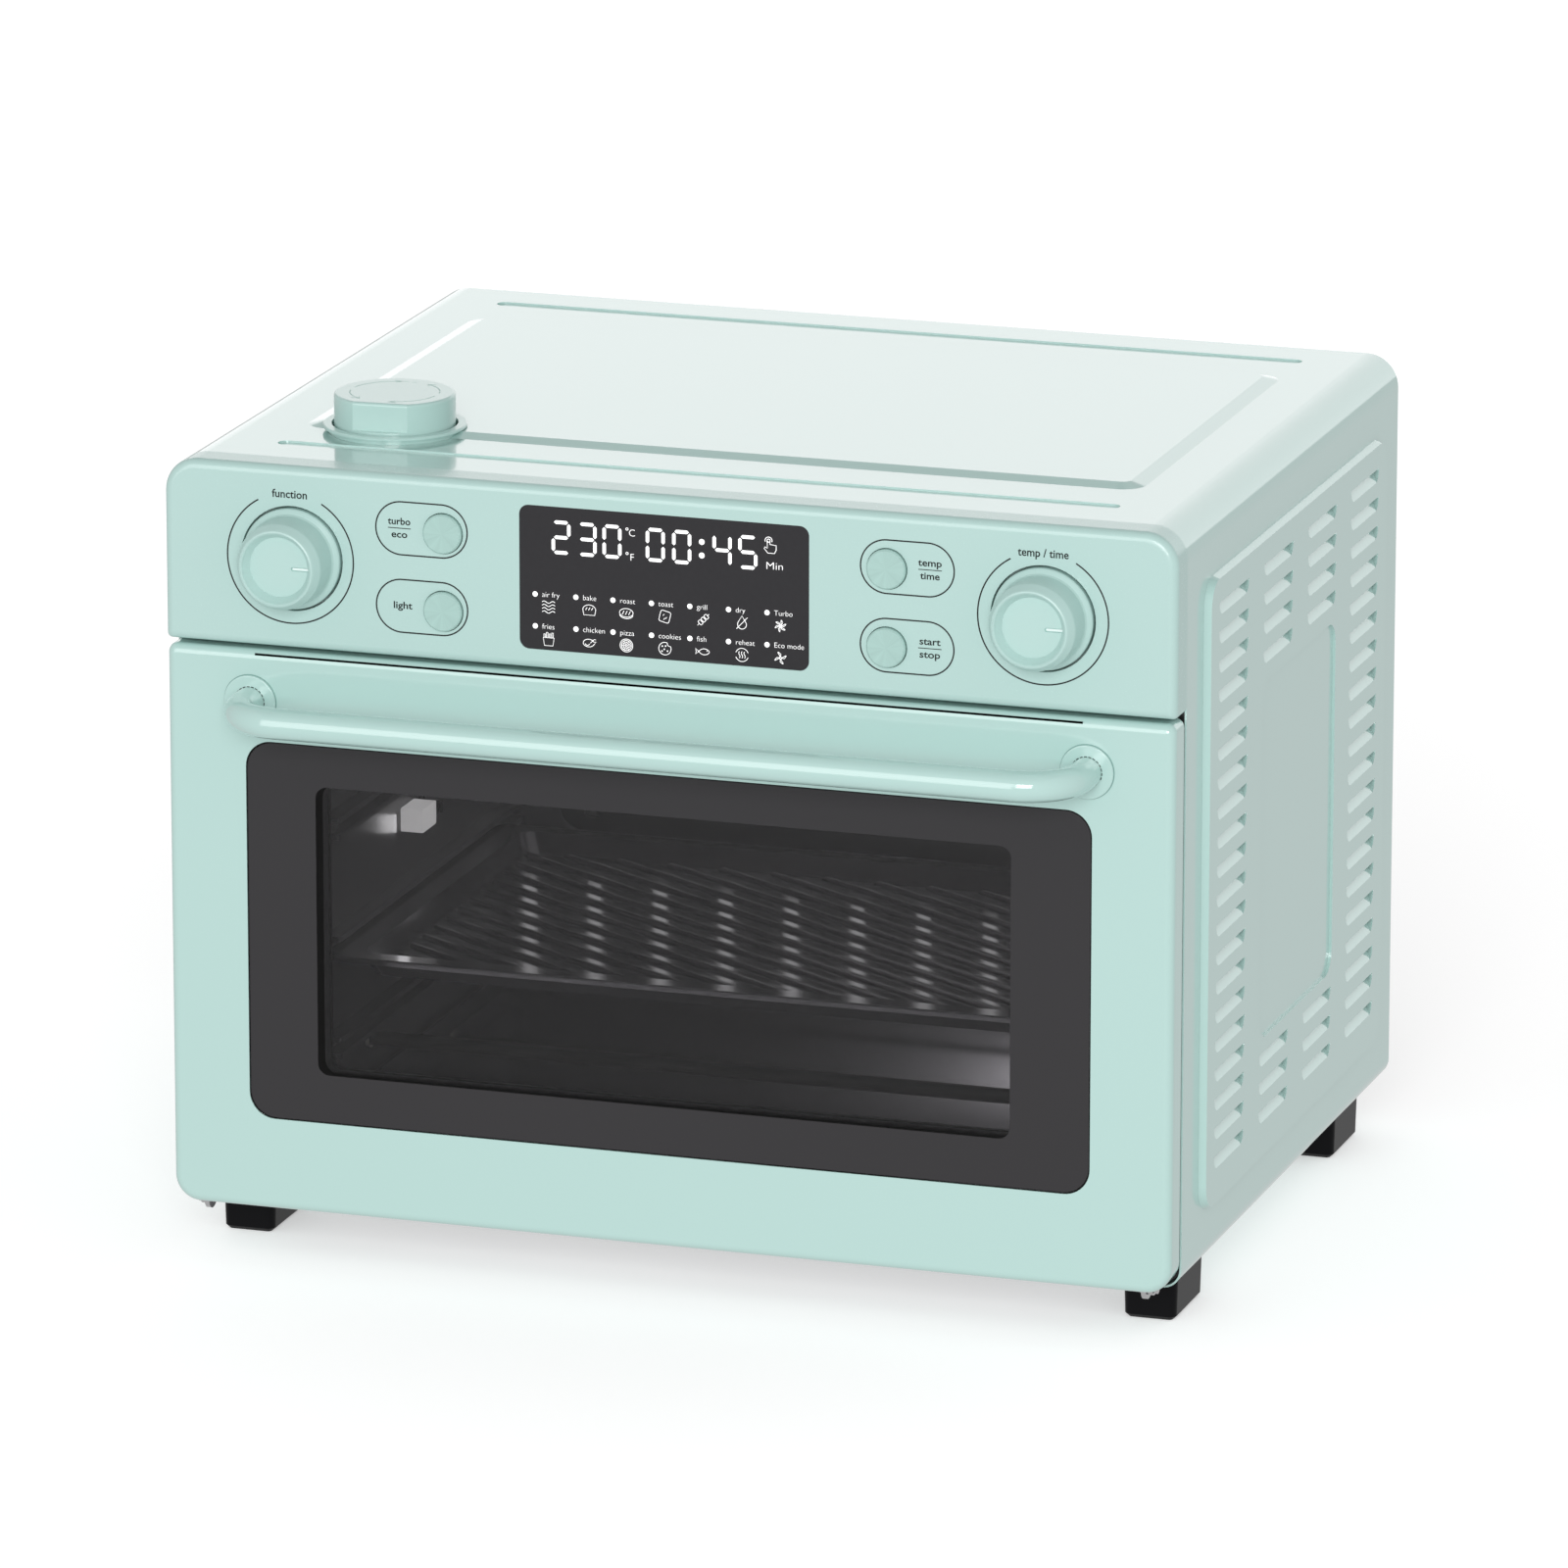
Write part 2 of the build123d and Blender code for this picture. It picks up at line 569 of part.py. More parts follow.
# ---------------------------------------------------------------- door
with BuildPart() as door_frame:
    with BuildSketch(front(door_deep)) as face:
        with Locations((0, (door_z[0] + door_z[1]) / 2)):
            Rectangle(2 * door_half, door_z[1] - door_z[0])
        fillet(face.vertices().group_by(Axis.Y)[-1], 4)
        fillet(face.vertices().group_by(Axis.Y)[0], 11)
    extrude(amount=door_deep)
    fillet(door_frame.faces().sort_by(Axis.Y)[0].edges(), 3.6)
    with BuildSketch(front(door_deep - 1.5)) as hollow:
        with Locations((0, (door_z[0] + door_z[1]) / 2)):
            Rectangle(2 * door_half - 3.2, door_z[1] - door_z[0] - 3.2)
        fillet(hollow.vertices().group_by(Axis.Y)[-1], 2)
        fillet(hollow.vertices().group_by(Axis.Y)[0], 9.4)
    extrude(amount=door_deep - 3.5, mode=Mode.SUBTRACT)
    sheet_y(10, 14, -199, 199, 13, 226, 4, Mode.SUBTRACT)
    sheet_y(2, 6.2, -182.6, 182.6, 36.8, 201.7, 13)
    sheet_y(-1, 4.5, -glass_x - 0.1, glass_x + 0.1, glass_z[0] - 0.1, glass_z[1] + 0.1, 11.1, Mode.SUBTRACT)
    sheet_y(4, 8, -171, 171, 46, 193.5, 8, Mode.SUBTRACT)
    # cooling-air slot along the top edge, open into the hollow door
    sheet_y(-1, 3.0, -176.3, 176.3, 235.55, 236.4, 0, Mode.SUBTRACT)
    for s in (-1, 1):
        sheet_y(3, 14, s * 202.9 - 5.2, s * 202.9 + 5.2, -2, 13, 0, Mode.SUBTRACT)
        rod_y(-1, 3, s * handle_x, handle_z, 2.2, Mode.SUBTRACT)
        for z in (75, 140, 210):
            rod_y(10, 14, s * 205.5, z, 1.5, Mode.SUBTRACT)

with BuildPart() as door_glass_outer:
    sheet_y(0.5, 4.5, -glass_x, glass_x, glass_z[0], glass_z[1], 11)

with BuildPart() as window_spacer:
    sheet_y(4.5, 10.5, -158, 158, 50, 192.5, 12)
    sheet_y(4, 11, -window_x, window_x, window_z[0], window_z[1], 6, Mode.SUBTRACT)

with BuildPart() as door_glass_inner:
    sheet_y(10.5, 13.5, -160, 160, 48, 194.5, 5)

with BuildPart() as door_inner_panel:
    sheet_y(13.5, 14.5, -209.5, 209.5, 3.5, 232, 9)
    sheet_y(13, 15, -window_x, window_x, window_z[0], window_z[1], 6, Mode.SUBTRACT)
    for s in (-1, 1):
        sheet_y(13, 15, s * 202.9 - 5.6, s * 202.9 + 5.6, 0, 13, 0, Mode.SUBTRACT)
        for z in (75, 140, 210):
            rod_y(13, 15, s * 205.5, z, 1.7, Mode.SUBTRACT)

with BuildPart() as door_seal:
    sheet_y(14.5, 16.6, -174.1, 174.1, 18.9, 229.1, 11)
    sheet_y(14, 17, -171.9, 171.9, 21.1, 226.9, 8.8, Mode.SUBTRACT)
    fillet(door_seal.faces().sort_by(Axis.Y)[-1].edges(), 0.9)

with BuildPart() as door_screws:
    for s in (-1, 1):
        for z in (75, 140, 210):
            rod_y(9, 14.5, s * 205.5, z, 1.5)
            rod_y(14.5, 16, s * 205.5, z, 3.2)
            sheet_y(15.3, 17, s * 205.5 - 2.2, s * 205.5 + 2.2, z - 0.4, z + 0.4, 0, Mode.SUBTRACT)
            sheet_y(15.3, 17, s * 205.5 - 0.4, s * 205.5 + 0.4, z - 2.2, z + 2.2, 0, Mode.SUBTRACT)

# ---------------------------------------------------------------- handle
with BuildPart() as handle_tube:
    bar = level(handle_z)
    with BuildLine(bar) as path:
        FilletPolyline(
            (-handle_x, 0),
            (-handle_x, -handle_out),
            (handle_x, -handle_out),
            (handle_x, 0),
            radius=handle_bend,
        )
    with BuildSketch(front(0)) as section:
        with Locations((-handle_x, handle_z)):
            Circle(handle_r)
    sweep(section.sketch, path=path.wires()[0])
    for s in (-1, 1):
        rod_y(-11, 1, s * handle_x, handle_z, 2.0, Mode.SUBTRACT)

with BuildPart() as handle_rosettes:
    for s in (-1, 1):
        rod_y(-1.2, 0, s * handle_x, handle_z, 11.2)
    fillet(handle_rosettes.faces().group_by(Axis.Y)[0].edges(), 0.5)
    for s in (-1, 1):
        rod_y(-4, 1, s * handle_x, handle_z, handle_r, Mode.SUBTRACT)

with BuildPart() as handle_screws:
    for s in (-1, 1):
        rod_y(-9, 2, s * handle_x, handle_z, 2.0)
        rod_y(2, 4.6, s * handle_x, handle_z, 4.2)
        sheet_y(3.6, 5, s * handle_x - 3, s * handle_x + 3, handle_z - 0.5, handle_z + 0.5, 0, Mode.SUBTRACT)
        sheet_y(3.6, 5, s * handle_x - 0.5, s * handle_x + 0.5, handle_z - 3, handle_z + 3, 0, Mode.SUBTRACT)


# ---------------------------------------------------------------- hinges
def hinge_leaf(s):
    """Door side of one hinge: an eye on the pin and a flange against the frame's ledge."""
    x0, x1 = sorted((s * 203.4, s * 205.4))
    f0, f1 = sorted((s * 205.4, s * 210.6))
    rod_x(x0, x1, hinge_y, hinge_z, 3.3)
    sheet_x(x0, x1, 5.7, 12.0, 0, 62)
    sheet_y(10.5, 12.0, f0, f1, 20, 62)
    rod_x(x0 - 1, x1 + 1, hinge_y, hinge_z, 1.65, Mode.SUBTRACT)


def hinge_hook(s):
    """Body side of one hinge: an eye ahead of the body and a foot on the base plate."""
    x0, x1 = sorted((s * 201, s * 203))
    f0, f1 = sorted((s * 189, s * 201))
    rod_x(x0, x1, hinge_y, hinge_z, 5.0)
    sheet_x(x0, x1, 10, 72, 1.0, 6.5)
    sheet_x(x0, x1, 19.6, 72, z_floor + floor_t, 16)
    sheet_z(z_floor + floor_t, z_floor + floor_t + 1.6, f0, f1, 25, 72, 1)
    rod_z(0, 4, s * 195.5, 56.25, 2.0, Mode.SUBTRACT)
    rod_x(x0 - 1, x1 + 1, hinge_y, hinge_z, 1.6, Mode.SUBTRACT)


with BuildPart() as hinge_arm_left:
    hinge_leaf(-1)

with BuildPart() as hinge_arm_right:
    hinge_leaf(1)

with BuildPart() as hinge_bracket_left:
    hinge_hook(-1)

with BuildPart() as hinge_bracket_right:
    hinge_hook(1)

with BuildPart() as hinge_pins:
    for s in (-1, 1):
        a0, a1 = sorted((s * 200.2, s * 205.8))
        b0, b1 = sorted((s * 205.8, s * 206.9))
        c0, c1 = sorted((s * 199.6, s * 201.0))
        rod_x(a0, a1, hinge_y, hinge_z, 1.6)
        rod_x(b0, b1, hinge_y, hinge_z, 2.6)
        rod_x(c0, c1, hinge_y, hinge_z, 2.6)

# ---------------------------------------------------------------- trays
# half-round ribs that cross the tray's floor slantwise
with BuildPart(mode=Mode.PRIVATE) as tray_ribs:
    with Locations(Location((0, 154 - y_mid, foot_drop + 89.2), (0, 0, -32.5))):
        with GridLocations(0, 12.5, 1, 29):
            Cylinder(2.0, 500, rotation=(0, 90, 0))
    extrude(panel(-143.6, 143.6, 59.4, 248.6, level(88.6), 6), amount=6, mode=Mode.INTERSECT)

with BuildPart() as grill_tray:
    sheet_z(95.6, 98.0, -165, 165, 44, 264, 9)
    fillet(grill_tray.faces().sort_by(Axis.Z)[-1].edges(), 1.0)
    wide = panel(-151.2, 151.2, 51.8, 256.2, level(96), 8)
    deep = panel(-147.2, 147.2, 55.8, 252.2, level(88), 8)
    loft([deep, wide], ruled=True)
    inner_wide = panel(-150.0, 150.0, 53.0, 255.0, level(99), 7)
    inner_deep = panel(-145.6, 145.6, 57.4, 250.6, level(89.4), 7)
    loft([inner_deep, inner_wide], ruled=True, mode=Mode.SUBTRACT)
    add(tray_ribs.part)

with BuildPart() as crumb_tray:
    sheet_z(27.6, 33.0, -161, 161, 28, 284, 6)
    sheet_z(28.6, 34.0, -160, 160, 29, 283, 5, Mode.SUBTRACT)
    sheet_y(26.6, 28.0, -70, 70, 27.6, 34.5, 2)

# ---------------------------------------------------------------- vent dial on top
dx, dy = dial_at
with BuildPart() as vent_flange:
    rod_z(z_top + 2.0, z_top + 3.2, dx, dy, 29.7)
    chamfer(vent_flange.faces().sort_by(Axis.Z)[-1].edges(), 0.5)
    rod_z(z_top - 8, z_top + 2.0, dx, dy, 27.6)
    rod_z(z_top - 6.5, z_top + 4, dx, dy, 26.1, Mode.SUBTRACT)
    rod_z(z_top - 9, z_top - 5, dx, dy, 4.05, Mode.SUBTRACT)
    with BuildSketch(level(z_top - 9)) as ports:
        with Locations((dx, dy)):
            with PolarLocations(12, 6):
                SlotOverall(9, 5)
    extrude(ports.sketch, amount=4, mode=Mode.SUBTRACT)

with BuildPart() as vent_dial:
    rod_z(z_top + 1.2, z_top + 16, dx, dy, 25.05)
    chord = atan2(1.5, 23)
    with BuildSketch(Plane(level(z_top + 4.2).origin + Vector(dx, dy, 0))) as flat:
        with Locations(Location((0, 0), degrees(chord))):
            with Locations((0, -22.2 - 10)):
                Rectangle(60, 20)
    extrude(flat.sketch, amount=20, mode=Mode.SUBTRACT)
    fillet(vent_dial.faces().sort_by(Axis.Z)[-1].edges(), 1.3)
    rod_z(z_top, z_top + 13.6, dx, dy, 20.6, Mode.SUBTRACT)
    rod_z(z_top - 11.5, z_top + 13.8, dx, dy, 4.0)
    rod_z(z_top - 9.6, z_top - 8.4, dx, dy, 18.0)
    with BuildSketch(level(z_top - 10)) as ports:
        with Locations((dx, dy)):
            with PolarLocations(12, 6, 30):
                SlotOverall(9, 5)
    extrude(ports.sketch, amount=2, mode=Mode.SUBTRACT)

with BuildPart() as vent_duct:
    rod_z(cav_z[1] + sheet, 227.8, dx, dy, 24)
    rod_z(cav_z[1] + sheet, z_top - 8, dx, dy, 20)
    rod_z(226, z_top, dx, dy, 19, Mode.SUBTRACT)

# ---------------------------------------------------------------- labels and export
outer_shell.part.label = "outer_shell"
export_step(outer_shell.part, "parts/outer_shell.step")
base_plate.part.label = "base_plate"
export_step(base_plate.part, "parts/base_plate.step")
foot_front_left.part.label = "foot_front_left"
export_step(foot_front_left.part, "parts/foot_front_left.step")
foot_front_right.part.label = "foot_front_right"
export_step(foot_front_right.part, "parts/foot_front_right.step")
foot_rear_left.part.label = "foot_rear_left"
export_step(foot_rear_left.part, "parts/foot_rear_left.step")
foot_rear_right.part.label = "foot_rear_right"
export_step(foot_rear_right.part, "parts/foot_rear_right.step")
foot_screws.part.label = "foot_screws"
export_step(foot_screws.part, "parts/foot_screws.step")
rear_panel.part.label = "rear_panel"
export_step(rear_panel.part, "parts/rear_panel.step")
rear_screws.part.label = "rear_screws"
export_step(rear_screws.part, "parts/rear_screws.step")
cord_gland.part.label = "cord_gland"
export_step(cord_gland.part, "parts/cord_gland.step")
control_fascia.part.label = "control_fascia"
export_step(control_fascia.part, "parts/control_fascia.step")
display_lens.part.label = "display_lens"
export_step(display_lens.part, "parts/display_lens.step")
display_module.part.label = "display_module"
export_step(display_module.part, "parts/display_module.step")
control_board.part.label = "control_board"
export_step(control_board.part, "parts/control_board.step")
tact_switches.part.label = "tact_switches"
export_step(tact_switches.part, "parts/tact_switches.step")
encoder_left.part.label = "encoder_left"
export_step(encoder_left.part, "parts/encoder_left.step")
encoder_right.part.label = "encoder_right"
export_step(encoder_right.part, "parts/encoder_right.step")
encoder_shaft_left.part.label = "encoder_shaft_left"
export_step(encoder_shaft_left.part, "parts/encoder_shaft_left.step")
encoder_shaft_right.part.label = "encoder_shaft_right"
export_step(encoder_shaft_right.part, "parts/encoder_shaft_right.step")
knob_function.part.label = "knob_function"
export_step(knob_function.part, "parts/knob_function.step")
knob_temperature.part.label = "knob_temperature"
export_step(knob_temperature.part, "parts/knob_temperature.step")
button_upper_left.part.label = "button_upper_left"
export_step(button_upper_left.part, "parts/button_upper_left.step")
button_lower_left.part.label = "button_lower_left"
export_step(button_lower_left.part, "parts/button_lower_left.step")
button_upper_right.part.label = "button_upper_right"
export_step(button_upper_right.part, "parts/button_upper_right.step")
button_lower_right.part.label = "button_lower_right"
export_step(button_lower_right.part, "parts/button_lower_right.step")
front_frame.part.label = "front_frame"
export_step(front_frame.part, "parts/front_frame.step")
cavity_liner.part.label = "cavity_liner"
export_step(cavity_liner.part, "parts/cavity_liner.step")
heat_shield.part.label = "heat_shield"
export_step(heat_shield.part, "parts/heat_shield.step")
insulation_blanket.part.label = "insulation_blanket"
export_step(insulation_blanket.part, "parts/insulation_blanket.step")
power_board.part.label = "power_board"
export_step(power_board.part, "parts/power_board.step")
upper_heaters.part.label = "upper_heaters"
export_step(upper_heaters.part, "parts/upper_heaters.step")
lower_heaters.part.label = "lower_heaters"
export_step(lower_heaters.part, "parts/lower_heaters.step")
heater_insulators.part.label = "heater_insulators"
export_step(heater_insulators.part, "parts/heater_insulators.step")
fan_guard.part.label = "fan_guard"
export_step(fan_guard.part, "parts/fan_guard.step")
fan_housing.part.label = "fan_housing"
export_step(fan_housing.part, "parts/fan_housing.step")
fan.part.label = "fan"
export_step(fan.part, "parts/fan.step")
fan_motor.part.label = "fan_motor"
export_step(fan_motor.part, "parts/fan_motor.step")
lamp_housing.part.label = "lamp_housing"
export_step(lamp_housing.part, "parts/lamp_housing.step")
lamp_lens.part.label = "lamp_lens"
export_step(lamp_lens.part, "parts/lamp_lens.step")
temperature_probe.part.label = "temperature_probe"
export_step(temperature_probe.part, "parts/temperature_probe.step")
door_frame.part.label = "door_frame"
export_step(door_frame.part, "parts/door_frame.step")
door_glass_outer.part.label = "door_glass_outer"
export_step(door_glass_outer.part, "parts/door_glass_outer.step")
window_spacer.part.label = "window_spacer"
export_step(window_spacer.part, "parts/window_spacer.step")
door_glass_inner.part.label = "door_glass_inner"
export_step(door_glass_inner.part, "parts/door_glass_inner.step")
door_inner_panel.part.label = "door_inner_panel"
export_step(door_inner_panel.part, "parts/door_inner_panel.step")
door_seal.part.label = "door_seal"
export_step(door_seal.part, "parts/door_seal.step")
door_screws.part.label = "door_screws"
export_step(door_screws.part, "parts/door_screws.step")
handle_tube.part.label = "handle_tube"
export_step(handle_tube.part, "parts/handle_tube.step")
handle_rosettes.part.label = "handle_rosettes"
export_step(handle_rosettes.part, "parts/handle_rosettes.step")
handle_screws.part.label = "handle_screws"
export_step(handle_screws.part, "parts/handle_screws.step")
hinge_arm_left.part.label = "hinge_arm_left"
export_step(hinge_arm_left.part, "parts/hinge_arm_left.step")
hinge_arm_right.part.label = "hinge_arm_right"
export_step(hinge_arm_right.part, "parts/hinge_arm_right.step")
hinge_bracket_left.part.label = "hinge_bracket_left"
export_step(hinge_bracket_left.part, "parts/hinge_bracket_left.step")
hinge_bracket_right.part.label = "hinge_bracket_right"
export_step(hinge_bracket_right.part, "parts/hinge_bracket_right.step")
hinge_pins.part.label = "hinge_pins"
export_step(hinge_pins.part, "parts/hinge_pins.step")
grill_tray.part.label = "grill_tray"
export_step(grill_tray.part, "parts/grill_tray.step")
crumb_tray.part.label = "crumb_tray"
export_step(crumb_tray.part, "parts/crumb_tray.step")
vent_flange.part.label = "vent_flange"
export_step(vent_flange.part, "parts/vent_flange.step")
vent_dial.part.label = "vent_dial"
export_step(vent_dial.part, "parts/vent_dial.step")
vent_duct.part.label = "vent_duct"
export_step(vent_duct.part, "parts/vent_duct.step")
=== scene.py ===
import json
import math

import bmesh
import bpy
from mathutils import Matrix, Vector


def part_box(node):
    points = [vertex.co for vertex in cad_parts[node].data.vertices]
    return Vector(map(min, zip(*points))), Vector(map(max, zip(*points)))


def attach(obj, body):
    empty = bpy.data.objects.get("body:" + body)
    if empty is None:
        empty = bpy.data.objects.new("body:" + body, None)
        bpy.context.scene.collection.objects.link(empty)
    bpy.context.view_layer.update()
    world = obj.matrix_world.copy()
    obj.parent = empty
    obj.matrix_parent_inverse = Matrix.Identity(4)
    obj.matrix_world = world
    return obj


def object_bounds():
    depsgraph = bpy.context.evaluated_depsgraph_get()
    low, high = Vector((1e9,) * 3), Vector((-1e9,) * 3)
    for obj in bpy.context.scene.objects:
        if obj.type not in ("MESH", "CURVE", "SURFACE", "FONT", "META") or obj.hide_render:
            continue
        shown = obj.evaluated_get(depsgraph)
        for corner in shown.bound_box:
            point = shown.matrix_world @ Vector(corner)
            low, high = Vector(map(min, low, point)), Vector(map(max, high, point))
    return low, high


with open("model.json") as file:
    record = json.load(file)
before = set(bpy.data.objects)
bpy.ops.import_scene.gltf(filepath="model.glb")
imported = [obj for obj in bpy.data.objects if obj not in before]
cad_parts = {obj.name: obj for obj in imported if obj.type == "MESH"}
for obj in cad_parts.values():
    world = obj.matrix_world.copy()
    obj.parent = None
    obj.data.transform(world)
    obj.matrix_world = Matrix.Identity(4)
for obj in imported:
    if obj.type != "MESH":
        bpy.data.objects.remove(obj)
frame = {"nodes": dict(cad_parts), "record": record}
cad_lo, cad_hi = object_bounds()

MM = 0.001
RIGHT = Vector((1, 0, 0))
BACK = Vector((0, 1, 0))
UP = Vector((0, 0, 1))


# ---------------------------------------------------------------- camera

CAMERA_AT = (1.4776, -4.5320, 1.4644)
CAMERA_TURN = (74.925, -0.0254, 18.0355)
CAMERA_LENS = 271.97

camera_data = bpy.data.cameras.new("camera")
camera_data.lens = CAMERA_LENS
camera_data.sensor_width = 36.0
camera_data.clip_end = 60.0
camera = bpy.data.objects.new("camera", camera_data)
camera.location = CAMERA_AT
camera.rotation_euler = [math.radians(a) for a in CAMERA_TURN]
bpy.context.scene.collection.objects.link(camera)
bpy.context.scene.camera = camera
bpy.context.scene.view_settings.view_transform = "Standard"


# ---------------------------------------------------------------- materials

def nodes_of(material):
    material.use_nodes = True
    return material.node_tree, material.node_tree.nodes["Principled BSDF"]


def swing(tree, value, low, high, socket):
    """Runs a 0 to 1 value between two limits into a shader socket."""
    spread = tree.nodes.new("ShaderNodeMapRange")
    spread.inputs["To Min"].default_value = low
    spread.inputs["To Max"].default_value = high
    tree.links.new(value, spread.inputs["Value"])
    tree.links.new(spread.outputs["Result"], socket)


def texture(tree, grain, stretch, cells):
    """A grain in the part's own space: soft noise, or crystals where cells is set."""
    place = tree.nodes.new("ShaderNodeTexCoord")
    scale = tree.nodes.new("ShaderNodeMapping")
    scale.inputs["Scale"].default_value = stretch
    tree.links.new(place.outputs["Object"], scale.inputs["Vector"])
    kind = "ShaderNodeTexVoronoi" if cells else "ShaderNodeTexNoise"
    grains = tree.nodes.new(kind)
    grains.inputs["Scale"].default_value = grain
    tree.links.new(scale.outputs["Vector"], grains.inputs["Vector"])
    if not cells:
        grains.inputs["Detail"].default_value = 4.0
        return grains.outputs["Fac"]
    split = tree.nodes.new("ShaderNodeSeparateColor")
    tree.links.new(grains.outputs["Color"], split.inputs["Color"])
    return split.outputs["Red"]


def surface(name, colour, rough, metal=0.0, grain=700.0, stretch=(1, 1, 1), cells=False,
            tint=0.03, rough_swing=0.04, bump=0.0, coat=0.0, specular=0.5, glow=0.0):
    """A finish whose colour, roughness and height all follow one grain."""
    material = bpy.data.materials.new(name)
    tree, shader = nodes_of(material)
    value = texture(tree, grain, stretch, cells)
    mix = tree.nodes.new("ShaderNodeMix")
    mix.data_type = "RGBA"
    mix.inputs["A"].default_value = [c * (1 - tint) for c in colour] + [1]
    mix.inputs["B"].default_value = [min(1, c * (1 + tint)) for c in colour] + [1]
    tree.links.new(value, mix.inputs["Factor"])
    tree.links.new(mix.outputs["Result"], shader.inputs["Base Color"])
    swing(tree, value, max(0.02, rough - rough_swing), rough + rough_swing, shader.inputs["Roughness"])
    shader.inputs["Metallic"].default_value = metal
    shader.inputs["Specular IOR Level"].default_value = specular
    shader.inputs["Coat Weight"].default_value = coat
    shader.inputs["Coat Roughness"].default_value = 0.04
    if glow:
        shader.inputs["Emission Color"].default_value = [1, 1, 1, 1]
        shader.inputs["Emission Strength"].default_value = glow
    if bump:
        relief = tree.nodes.new("ShaderNodeBump")
        relief.inputs["Strength"].default_value = bump
        relief.inputs["Distance"].default_value = 0.1 * MM
        tree.links.new(value, relief.inputs["Height"])
        tree.links.new(relief.outputs["Normal"], shader.inputs["Normal"])
    return material


def spun(name, colour, rough):
    """Turned plastic: fine streaks that run out from the middle of each piece."""
    material = bpy.data.materials.new(name)
    tree, shader = nodes_of(material)
    place = tree.nodes.new("ShaderNodeTexCoord")
    centre = tree.nodes.new("ShaderNodeMapping")
    centre.inputs["Rotation"].default_value = (math.pi / 2, 0, 0)
    centre.inputs["Location"].default_value = (-0.5, 0.5, 0)
    tree.links.new(place.outputs["Generated"], centre.inputs["Vector"])
    angle = tree.nodes.new("ShaderNodeTexGradient")
    angle.gradient_type = "RADIAL"
    tree.links.new(centre.outputs["Vector"], angle.inputs["Vector"])
    streaks = tree.nodes.new("ShaderNodeTexNoise")
    streaks.noise_dimensions = "1D"
    streaks.inputs["Scale"].default_value = 9.0
    streaks.inputs["Detail"].default_value = 9.0
    streaks.inputs["Roughness"].default_value = 0.62
    tree.links.new(angle.outputs["Fac"], streaks.inputs["W"])
    mix = tree.nodes.new("ShaderNodeMix")
    mix.data_type = "RGBA"
    mix.inputs["A"].default_value = [c * 0.84 for c in colour] + [1]
    mix.inputs["B"].default_value = [c * 1.12 for c in colour] + [1]
    tree.links.new(streaks.outputs["Fac"], mix.inputs["Factor"])
    tree.links.new(mix.outputs["Result"], shader.inputs["Base Color"])
    swing(tree, streaks.outputs["Fac"], rough - 0.08, rough + 0.08, shader.inputs["Roughness"])
    shader.inputs["Anisotropic"].default_value = 0.6
    return material


def glass(name, colour, rough, ior):
    material = bpy.data.materials.new(name)
    tree, shader = nodes_of(material)
    value = texture(tree, 40.0, (1, 1, 1), False)
    mix = tree.nodes.new("ShaderNodeMix")
    mix.data_type = "RGBA"
    mix.inputs["A"].default_value = [c * 0.97 for c in colour] + [1]
    mix.inputs["B"].default_value = list(colour) + [1]
    tree.links.new(value, mix.inputs["Factor"])
    tree.links.new(mix.outputs["Result"], shader.inputs["Base Color"])
    shader.inputs["Roughness"].default_value = rough
    shader.inputs["Transmission Weight"].default_value = 1.0
    shader.inputs["IOR"].default_value = ior
    return material


MINT = (0.484, 0.694, 0.654)
INK = (0.004, 0.006, 0.006)
BRUSH = (1, 1, 18)

